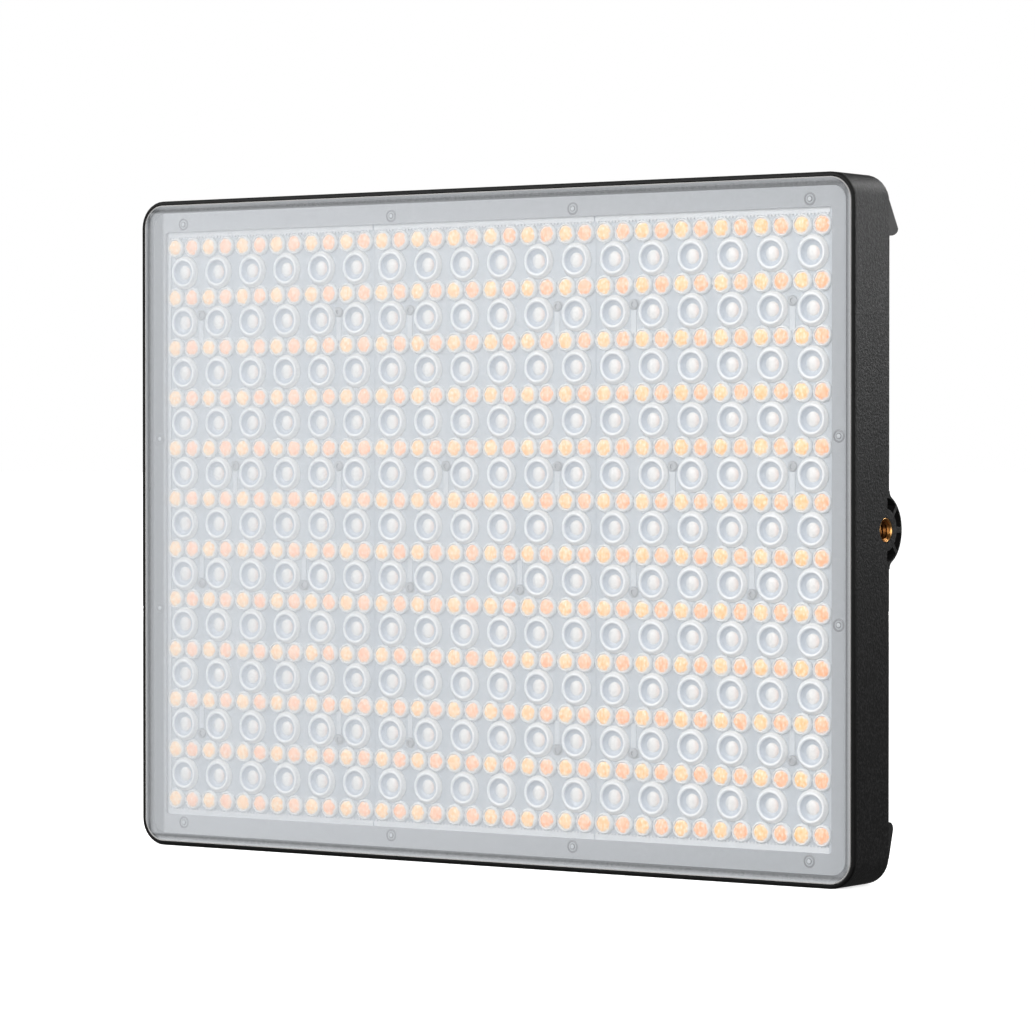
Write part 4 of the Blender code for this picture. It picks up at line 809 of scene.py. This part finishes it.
def threaded_insert(node, axis, look):
    """Brass insert with a countersunk mouth and a helical thread; replaces the plain CAD bore."""
    low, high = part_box(node)
    reach = abs((high - low).dot(axis))
    mouth = (low + high) / 2 + axis * reach / 2
    across = Vector((0, 1, 0))
    up = axis.cross(across)
    rows = [(INSERT_RADIUS, reach), (INSERT_RADIUS, INSERT_CHAMFER)]
    rows += [(INSERT_RADIUS - INSERT_CHAMFER, 0.0), (MOUTH_RADIUS, SEAT_DEPTH)]
    depth = MOUTH_DEPTH
    while depth < reach - THREAD_PITCH / 2:
        rows.append((None, depth))
        depth += THREAD_ROW
    rows.append((THREAD_CREST, reach))
    verts = []
    depths = []
    for radius, depth in rows:
        depths += [depth / MM] * TURN_STEPS
        for step in range(TURN_STEPS):
            share = step / TURN_STEPS
            size = radius
            if size is None:
                wave = abs((depth / THREAD_PITCH - share) % 1 * 2 - 1)
                fade = min(1.0, (depth - MOUTH_DEPTH) / THREAD_FADE)
                height = (THREAD_ROOT - THREAD_CREST) * fade * min(1.0, CREST_SHARE * wave)
                size = THREAD_ROOT - height
            angle = 2 * math.pi * share
            out = math.cos(angle) * across + math.sin(angle) * up
            verts.append(mouth - axis * depth + size * out)
    faces = outward(verts, ring_faces(len(rows), TURN_STEPS))
    cells = (depths, depths)
    piece = mesh_piece(f"{node}_thread", verts, faces, look, cells=cells, angle=30)
    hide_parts(node)


def paint_faces(node, look, test):
    """Gives the faces of a CAD node whose middle passes the test a second material."""
    target = frame["nodes"][node]
    target.data.materials.append(look)
    index = len(target.data.materials) - 1
    for face in target.data.polygons:
        if test(target.matrix_world @ face.center):
            face.material_index = index


KNOB_RIBS = 54
KNOB_RIB = 0.3 * MM
KNOB_RIB_SIDES = 8
KNOB_RIB_SUNK = 0.12 * MM
KNOB_RIB_SHORT = 2.6 * MM
KNOB_RIB_DROP = 0.2 * MM
CAP_STEPS = 64
CAP_GROOVES = 9
CAP_BACK = ((0, -0.3), (8.2, -0.3))
CAP_GROOVE = ((8.1, 0.12), (7.75, 0.02))
CAP_MIDDLE = (0, 0.1)
GROOVE_PITCH = 0.85
DISH_DEPTH = 0.6 * MM
POINTER_WIDTH = 0.7 * MM
POINTER_HEIGHT = 0.28 * MM
POINTER_ENDS = (4.4 * MM, 8 * MM)
SCALE_TICKS = 11
SCALE_START = 225
SCALE_SWEEP = 270
SCALE_RADIUS = 13.4 * MM
LONG_TICK = 1.8 * MM
SHORT_TICK = 1.1 * MM
TICK_WIDTH = 0.28 * MM
TICK_HEIGHT = 0.05 * MM


def dial_knob(name, looks):
    """Ribs around a knob, a spun cap in its dish and a pointer line."""
    low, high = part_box(name)
    x, middle, z = (low + high) / 2
    radius = (high.x - low.x) / 2
    ribs = bmesh.new()
    lying = Matrix.Rotation(math.pi / 2, 4, "X")
    for step in range(KNOB_RIBS):
        turn = Matrix.Rotation(2 * math.pi * step / KNOB_RIBS, 4, "Y")
        out = Matrix.Translation((radius - KNOB_RIB_SUNK, 0, 0))
        made = bmesh.ops.create_cone(
            ribs, cap_ends=True, segments=KNOB_RIB_SIDES, radius1=KNOB_RIB, radius2=KNOB_RIB,
            depth=high.y - low.y - KNOB_RIB_SHORT, matrix=turn @ out @ lying,
        )
        bmesh.ops.translate(ribs, verts=made["verts"], vec=(x, middle - KNOB_RIB_DROP, z))
    bmesh_piece(f"{name}_grip", ribs, looks["knob"], name)
    dish = high.y - DISH_DEPTH
    profile = list(CAP_BACK)
    for step in range(CAP_GROOVES):
        profile += [(reach - step * GROOVE_PITCH, depth) for reach, depth in CAP_GROOVE]
    verts, faces = turned_template(profile + [CAP_MIDDLE], CAP_STEPS)
    verts = verts + np.array((x, dish, z))
    mesh_piece(f"{name}_cap", verts, faces, looks["cap"], name)
    pointer = bmesh.new()
    outer = (x + POINTER_WIDTH / 2, dish + POINTER_HEIGHT, z + POINTER_ENDS[1])
    box(pointer, (x - POINTER_WIDTH / 2, dish, z + POINTER_ENDS[0]), outer)
    bmesh_piece(f"{name}_pointer", pointer, looks["mark"], name, 0.08 * MM)


def dial_scale(name, look):
    """Printed ticks on the bezel around a knob; every fifth is longer."""
    low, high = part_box(name)
    centre = (low + high) / 2
    centre.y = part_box("control_bezel")[1].y
    ticks = bmesh.new()
    for step in range(SCALE_TICKS):
        angle = math.radians(SCALE_START - SCALE_SWEEP * step / (SCALE_TICKS - 1))
        length = LONG_TICK if step % 5 == 0 else SHORT_TICK
        turn = Matrix.Translation(centre) @ Matrix.Rotation(-angle, 4, "Y")
        out = Matrix.Translation((SCALE_RADIUS, 0, 0))
        size = Matrix.Diagonal((length, TICK_HEIGHT, TICK_WIDTH, 1))
        bmesh.ops.create_cube(ticks, size=1, matrix=turn @ out @ size)
    bmesh_piece(f"{name}_scale", ticks, look)


PLATE_SCREW_STEPS = 24
PLATE_SCREW = ((0, 0.1), (2, 0.1), (2, -0.18), (1.75, -0.28), (1.05, -0.28), (0.95, 0), (0, 0.05))
PLATE_SURFACE = FRONT + 33.2 * MM
PLATE_SUNK = 0.1 * MM
PLATE_SCREW_PLACE = (16.5 * MM, 5 * MM)
RAIL_PLACE = 12.5 * MM
RAIL_ENDS = (12 * MM, 16 * MM)


def block(mesh, middle, half, low, high, height):
    """Adds a low block on a battery plate, across its middle line and between two heights."""
    bottom = (middle - half, PLATE_SURFACE - PLATE_SUNK, low)
    box(mesh, bottom, (middle + half, PLATE_SURFACE + height, high))


def plate_details(side_name, looks):
    """Guide ridges and countersunk screws on a battery plate, and grip lines on its latch."""
    low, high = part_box(f"battery_plate_{side_name}")
    middle = (low.x + high.x) / 2
    ridges = bmesh.new()
    for across in (-RAIL_PLACE, RAIL_PLACE):
        ends = (low.z + RAIL_ENDS[0], high.z - RAIL_ENDS[1])
        block(ridges, middle + across, 0.6 * MM, *ends, 0.35 * MM)
    for step in range(6):
        z = low.z + (38 + step * 3) * MM
        block(ridges, middle, 7 * MM, z, z + 1.1 * MM, 0.25 * MM)
    look = looks["plate"]
    bmesh_piece(f"plate_ridges_{side_name}", ridges, look, bevel=0.12 * MM)
    points, corners = turned_template(PLATE_SCREW, PLATE_SCREW_STEPS)
    across, up = PLATE_SCREW_PLACE
    ends = (low.z + up, high.z - up)
    places = [(middle + side * across, PLATE_SURFACE, z) for side in (-1, 1) for z in ends]
    verts, faces, _ = repeated((points * np.array((1, -1, 1)), corners), places)
    faces = outward(verts, faces)
    mesh_piece(f"plate_screws_{side_name}", verts, faces, looks["screw"])
    latch = f"battery_latch_{side_name}"
    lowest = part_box(latch)[0].z
    grip = bmesh.new()
    for step in range(4):
        z = lowest + (1 + step * 0.9) * MM
        block(grip, middle, 3.6 * MM, z, z + 0.45 * MM, 0.3 * MM)
    bmesh_piece(f"latch_grip_{side_name}", grip, looks["latch"], latch, 0.08 * MM)


SPRING_RADIUS = 1.0 * MM
SPRING_WIRE = 0.21 * MM
SPRING_TURNS = 7
COIL_STEPS = 20
WIRE_STEPS = 8


def latch_spring(side_name, look):
    """Coil spring with half a closed turn at each end, as long as the CAD spring it replaces."""
    node = f"latch_spring_{side_name}"
    low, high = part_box(node)
    centre = (low + high) / 2
    start = low.z + SPRING_WIRE
    rise = high.z - low.z - 2 * SPRING_WIRE
    verts = []
    count = SPRING_TURNS * COIL_STEPS
    for step in range(count + 1):
        turn = 2 * math.pi * step / COIL_STEPS
        share = min(1.0, max(0.0, (step - COIL_STEPS / 2) / (count - COIL_STEPS)))
        out = Vector((math.cos(turn), math.sin(turn), 0))
        middle = Vector((centre.x, centre.y, start + rise * share)) + out * SPRING_RADIUS
        for edge in range(WIRE_STEPS):
            around = 2 * math.pi * edge / WIRE_STEPS
            way = math.cos(around) * out + math.sin(around) * Vector((0, 0, 1))
            verts.append(middle + SPRING_WIRE * way)
    faces = ring_faces(count + 1, WIRE_STEPS)[:-WIRE_STEPS]
    faces.append(tuple(reversed(range(WIRE_STEPS))))
    faces.append(tuple(count * WIRE_STEPS + edge for edge in range(WIRE_STEPS)))
    piece = mesh_piece(f"{node}_coil", verts, outward(verts, faces), look, angle=80)
    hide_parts(node)
    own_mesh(piece)


CONTACTS = 6
CONTACT_PITCH = 0.95 * MM
CONTACT_ENDS = (FRONT + 25 * MM, FRONT + 28.2 * MM)
TONGUE = (3.4 * MM, 0.5 * MM)
PIN_REACH = 1.4 * MM
TERMINAL_BLOCK = 6.2 * MM


def socket_details(looks):
    """USB-C contacts, and second finishes for its tongue, the barrel pin and the terminals."""
    low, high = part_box("usb_c_port")
    centre = (low + high) / 2
    pads = bmesh.new()
    for side in (-1, 1):
        for step in range(CONTACTS):
            x = centre.x + (step - (CONTACTS - 1) / 2) * CONTACT_PITCH
            z = centre.z + side * 0.36 * MM
            inner = (x - 0.2 * MM, CONTACT_ENDS[0], z - 0.03 * MM)
            box(pads, inner, (x + 0.2 * MM, CONTACT_ENDS[1], z + 0.03 * MM))
    bmesh_piece("usb_contacts", pads, looks["gold"])

    def on_tongue(point):
        return abs(point.x - centre.x) < TONGUE[0] and abs(point.z - centre.z) < TONGUE[1]

    paint_faces("usb_c_port", looks["bezel"], on_tongue)
    low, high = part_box("dc_jack")
    jack = (low + high) / 2

    def on_pin(point):
        return math.hypot(point.x - jack.x, point.z - jack.z) < PIN_REACH

    paint_faces("dc_jack", looks["steel"], on_pin)
    for side_name in ("left", "right"):
        terminal = f"battery_terminal_{side_name}"
        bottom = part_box(terminal)[1].z - TERMINAL_BLOCK
        paint_faces(terminal, looks["bezel"], lambda point: point.z > bottom)


RIB_PITCH = 0.9 * MM
RIB_START = 4.4 * MM
RIB_WIDTH = 0.32 * MM
RIB_HEIGHT = 0.12 * MM
RIB_SUNK = 0.15 * MM
RIB_MARGIN = 1.4 * MM


def rocker_ribs(look):
    """Grip lines across the two ends of the power rocker."""
    low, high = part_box("power_rocker")
    ribs = bmesh.new()
    for side in (-1, 1):
        for step in range(3):
            x = (low.x + high.x) / 2 + side * (RIB_START + step * RIB_PITCH)
            face = rocker_face(x)
            inner = (x - RIB_WIDTH / 2, face - RIB_SUNK, low.z + RIB_MARGIN)
            box(ribs, inner, (x + RIB_WIDTH / 2, face + RIB_HEIGHT, high.z - RIB_MARGIN))
    bmesh_piece("rocker_ribs", ribs, look, "power_rocker", 0.05 * MM)


def rocker_face(x):
    """Depth of the rocker's outer face at a place across it."""
    target = frame["nodes"]["power_rocker"]
    low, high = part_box("power_rocker")
    origin = target.matrix_world.inverted() @ Vector((x, high.y + 5 * MM, (low.z + high.z) / 2))
    way = (target.matrix_world.inverted().to_3x3() @ Vector((0, -1, 0))).normalized()
    hit, place, _, _ = target.ray_cast(origin, way)
    return (target.matrix_world @ place).y if hit else low.y


CORNER_RADIUS = 8.4 * MM
RIM_FACE = 0.3 * MM
RIM_DEPTH = 3 * MM
POCKET_DEPTH = 5.5 * MM
BOSS_Y = FRONT + 16.7 * MM
BOSS_REACH = 10.2 * MM
BEAD = 0.2 * MM
BEAD_INSET = 1.53 * MM
BEAD_SIDES = 8
CORNER_STEPS = 16


def rim_loop(inset):
    """Points of the rim's rounded outline, a distance inside its edge, with their outward ways."""
    points = []
    for sx, sz, start in ((1, -1, 270), (1, 1, 0), (-1, 1, 90), (-1, -1, 180)):
        across = sx * (HALF_WIDTH - CORNER_RADIUS)
        corner = Vector((across, 0, MIDDLE_Z + sz * (HALF_HEIGHT - CORNER_RADIUS)))
        for step in range(CORNER_STEPS + 1):
            angle = math.radians(start + 90 * step / CORNER_STEPS)
            out = Vector((math.cos(angle), 0, math.sin(angle)))
            points.append((corner + out * (CORNER_RADIUS - inset), out))
    return points


def diffuser_bead(look):
    """Light edge of the diffuser, a bead just inside the black rim."""
    verts = []
    loop = rim_loop(BEAD_INSET)
    for place, out in loop:
        for side in range(BEAD_SIDES):
            around = 2 * math.pi * side / BEAD_SIDES
            offset = BEAD * math.cos(around) * out + BEAD * math.sin(around) * Vector((0, 1, 0))
            verts.append(place + offset + Vector((0, FRONT + BEAD + 0.02 * MM, 0)))
    faces = ring_faces(len(loop), BEAD_SIDES)
    mesh_piece("diffuser_bead", verts, outward(verts, faces), look, angle=80)


def housing_finishes(looks):
    """Second finishes of the housing: the front of its rim, and painted shade in the pockets round
    the inserts.
    """

    def on_rim(point):
        outside = max(abs(point.x) - HALF_WIDTH, abs(point.z - MIDDLE_Z) - HALF_HEIGHT)
        return outside < -RIM_FACE and point.y < FRONT + RIM_DEPTH

    def in_pocket(point):
        for out, along in ((abs(point.x) - HALF_WIDTH, point.z - MIDDLE_Z), (-point.z, point.x)):
            if -POCKET_DEPTH < out < -0.2 * MM and math.hypot(along, point.y - BOSS_Y) < BOSS_REACH:
                return True
        return False

    paint_faces("housing", looks["rim"], on_rim)
    # Painted shade: near black in the pockets round the inserts
    paint_faces("housing", looks["pocket"], in_pocket)


def rear_details(looks):
    for side_name, out in (("right", (1, 0, 0)), ("left", (-1, 0, 0)), ("bottom", (0, 0, -1))):
        threaded_insert(f"threaded_insert_{side_name}", Vector(out), looks["brass"])
    for name in ("intensity_knob", "colour_knob"):
        dial_knob(name, looks)
        dial_scale(name, looks["mark"])
    for side_name in ("left", "right"):
        plate_details(side_name, looks)
        latch_spring(side_name, looks["steel"])
    socket_details(looks)
    rocker_ribs(looks["latch"])


# Scene ------------------------------------------------------------------------

CAMERA_PLACE = Vector((740.9 * MM, FRONT - 1044.4 * MM, MIDDLE_Z + 19.6 * MM))
CAMERA_YAW = math.radians(34.81)
CAMERA_DIP = math.radians(0.75)
CAMERA_LENS = 147.5
FILL_FADE = (("From Min", -0.6), ("From Max", 0.8), ("To Min", 0.12), ("To Max", 0.4))
FILL_GLOSSY = 0.1


def build_camera():
    data = bpy.data.cameras.new("camera")
    data.lens = CAMERA_LENS
    data.sensor_width = 36
    data.clip_end = 50
    made = bpy.data.objects.new("camera", data)
    made.location = CAMERA_PLACE
    made.rotation_euler = (math.radians(90) - CAMERA_DIP, 0, CAMERA_YAW)
    bpy.context.scene.collection.objects.link(made)
    bpy.context.scene.camera = made


def lamp(name, kind, power, way):
    """Light of a kind that shines along a direction."""
    data = bpy.data.lights.new(name, kind)
    data.energy = power
    made = bpy.data.objects.new(name, data)
    made.rotation_euler = way.to_track_quat("-Z", "Y").to_euler()
    bpy.context.scene.collection.objects.link(made)
    return made


def area_light(name, place, target, size, power):
    made = lamp(name, "AREA", power, Vector(target) - Vector(place))
    made.data.shape = "RECTANGLE"
    made.data.size, made.data.size_y = size
    made.location = place
    made.visible_camera = False


def sun_light(name, way, power, softness):
    made = lamp(name, "SUN", power, Vector(way))
    made.data.angle = math.radians(softness)
    made.visible_glossy = False


def build_floor():
    mesh = bmesh.new()
    bmesh.ops.create_grid(mesh, x_segments=1, y_segments=1, size=40)
    data = bpy.data.meshes.new("floor")
    mesh.to_mesh(data)
    mesh.free()
    mat = Surface("floor_paint", (0.95, 0.95, 0.95), 0.9)
    mat.mottle(3, 0.005)
    mat.set("Specular IOR Level", 0.0)
    mat.set("Emission Color", (1, 1, 1, 1))
    mat.set("Emission Strength", 0.72)
    data.materials.append(mat.material)
    floor = bpy.data.objects.new("floor", data)
    floor.visible_diffuse = False
    floor.visible_glossy = False
    bpy.context.scene.collection.objects.link(floor)


def build_world():
    """White to look at, and a softer grey that is a little lighter above as the fill light."""
    world = bpy.data.worlds.new("world")
    world.use_nodes = True
    tree = world.node_tree
    background = tree.nodes["Background"]
    background.inputs["Color"].default_value = (1, 1, 1, 1)
    place = tree.nodes.new("ShaderNodeTexCoord")
    split = tree.nodes.new("ShaderNodeSeparateXYZ")
    fade = tree.nodes.new("ShaderNodeMapRange")
    for label, value in FILL_FADE:
        fade.inputs[label].default_value = value
    path = tree.nodes.new("ShaderNodeLightPath")
    tree.links.new(place.outputs["Generated"], split.inputs["Vector"])
    tree.links.new(split.outputs["Z"], fade.inputs["Value"])
    strength = fade.outputs["Result"]
    for ray, value in (("Is Glossy Ray", FILL_GLOSSY), ("Is Camera Ray", 1.0)):
        choose = tree.nodes.new("ShaderNodeMix")
        choose.inputs["B"].default_value = value
        tree.links.new(path.outputs[ray], choose.inputs["Factor"])
        tree.links.new(strength, choose.inputs["A"])
        strength = choose.outputs["Result"]
    tree.links.new(strength, background.inputs["Strength"])
    bpy.context.scene.world = world


def build_stage():
    """Pale floor, white surround and soft studio light."""
    build_floor()
    build_world()
    bpy.context.scene.view_settings.view_transform = "Standard"
    target = (0, 0, MIDDLE_Z)
    sun_light("overhead", (0.05, 0.1, -1), 0.6, 50)
    area_light("key_left", (-1.0, -1.9, 0.9), target, (1.6, 1.4), 54)
    area_light("key_right", (1.6, -1.5, 0.5), target, (1.4, 1.4), 22)
    area_light("back_fill", (-0.9, 2.0, 0.12), target, (1.6, 0.5), 22)
    area_light("edge", (0.235, 0.3, 0.43), (HALF_WIDTH, 0, 0.19), (0.1, 0.1), 0.5)
    area_light("side", (0.334, 0.285, 0.225), (HALF_WIDTH, 0, 0.17), (0.1, 0.1), 0.32)


def materials():
    return {
        "shell": shell_material(),
        "foot": moulded("foot_plastic", (0.016, 0.016, 0.0165), 0.55),
        "bezel": moulded("bezel_plastic", (0.014, 0.014, 0.015), 0.4, 3200),
        "plate": moulded("plate_plastic", (0.017, 0.017, 0.018), 0.5, 1800),
        "latch": moulded("latch_plastic", (0.035, 0.035, 0.038), 0.35, 3000),
        "knob": moulded("knob_plastic", (0.018, 0.018, 0.019), 0.45, 2800),
        "button": moulded("button_rubber", (0.04, 0.04, 0.042), 0.65, 2400),
        "white": reflector_material(),
        "rotor": moulded("rotor_nylon", (0.6, 0.6, 0.57), 0.5),
        "foam": foam_material(),
        "steel": machined("steel", (0.55, 0.55, 0.57), 0.32),
        "screw": machined("black_steel", (0.05, 0.05, 0.055), 0.35),
        "lens_screw": machined("lens_screw_steel", (0.36, 0.37, 0.38), 0.5, 0.3),
        "aluminium": machined("aluminium", (0.72, 0.73, 0.75), 0.38),
        "brass": insert_material(),
        "gold": machined("gold_plating", (0.85, 0.62, 0.25), 0.2),
        "board": moulded("circuit_board", (0.02, 0.12, 0.05), 0.35),
        "led_board": smooth("led_board", (0.75, 0.75, 0.72), 0.4),
        "cap": machined("knob_cap", (0.05, 0.05, 0.055), 0.3, 0.9),
        "mark": moulded("print_white", (0.7, 0.7, 0.7), 0.5),
        "glass": moulded("display_glass", (0.006, 0.007, 0.009), 0.1, 400, 0.002 * MM),
        "wire": moulded("wire_insulation", (0.35, 0.02, 0.02), 0.5),
        "strip": smooth("lens_strip", (0.53, 0.56, 0.59), 0.35),
        "bead": smooth("diffuser_bead", (0.3, 0.295, 0.29), 0.5, 0.04),
        "rim": rim_material(),
        "pocket": moulded("pocket_painted_shade", (0.0015, 0.0015, 0.0015), 0.8),
        "rib": smooth("lens_rib", (0.5, 0.535, 0.57), 0.35),
        "blob": blob_material(),
        "pin": pin_material(),
        "diffuser": diffuser_material(),
        "lens": lens_material(),
        "small_lens": smooth("small_lens", (0.84, 0.86, 0.87), 0.3, 0.04),
        "lens_plate": plate_material(),
        "led": led_material(),
        "amber": phosphor_material("phosphor_amber", (1.0, 0.82, 0.5), (1.0, 0.46, 0.08)),
        "orange": phosphor_material("phosphor_orange", (1.0, 0.7, 0.46), (1.0, 0.36, 0.09)),
    }


def sided(*names):
    return tuple(f"{name}_{side}" for name in names for side in ("left", "right"))


# Finishes of the CAD nodes, with the rounding of their hard edges in millimetres
FINISHES = (
    ("shell", 0.1, ("housing",)),
    ("shell", 0.25, ("rear_cover",)),
    ("foot", 0.25, sided("corner_foot_top", "corner_foot_bottom")),
    ("diffuser", 0, ("front_diffuser",)),
    ("foam", 0, ("diffuser_gasket",)),
    ("white", 0, ("reflector_frame",)),
    ("led_board", 0, tuple(f"led_board_{name}" for name in PANEL_NAMES)),
    ("aluminium", 0, ("heat_sink",)),
    ("brass", 0.1, sided("threaded_insert") + ("threaded_insert_bottom",)),
    ("screw", 0.08, tuple(f"case_screw_{index}" for index in range(1, 9))),
    ("bezel", 0.15, ("control_bezel", "power_switch_housing")),
    ("bezel", 0.1, ("dc_jack",)),
    ("plate", 0.15, sided("battery_plate")),
    ("board", 0, ("control_board", "driver_board")),
    ("steel", 0, ("display_module",) + sided("latch_spring")),
    ("steel", 0.05, ("intensity_encoder", "colour_encoder")),
    ("steel", 0.03, ("usb_c_port",)),
    ("glass", 0.1, ("display_window",)),
    ("rotor", 0, ("intensity_rotor", "colour_rotor")),
    ("knob", 0.2, ("intensity_knob", "colour_knob")),
    ("button", 0.2, tuple(f"{name}_button" for name in ("mode", "effect", "menu", "back"))),
    ("gold", 0.05, sided("battery_terminal")),
    ("latch", 0.2, sided("battery_latch")),
    ("latch", 0.3, ("power_rocker",)),
    ("wire", 0, ("led_harness",) + sided("battery_lead")),
)


def build():
    looks = materials()
    for look, width, nodes in FINISHES:
        for node in nodes:
            refine(node, looks[look], width * MM)
    for name in PANEL_NAMES:
        lens_ribs(name, looks)
        lens_plate(name, looks)
        lens_cells(name, looks)
        lens_screws(name, looks)
    reflector_pins(looks["pin"])
    diffuser_bead(looks["bead"])
    housing_finishes(looks)
    rear_details(looks)


clear_defaults()
build_camera()
build_stage()
build()
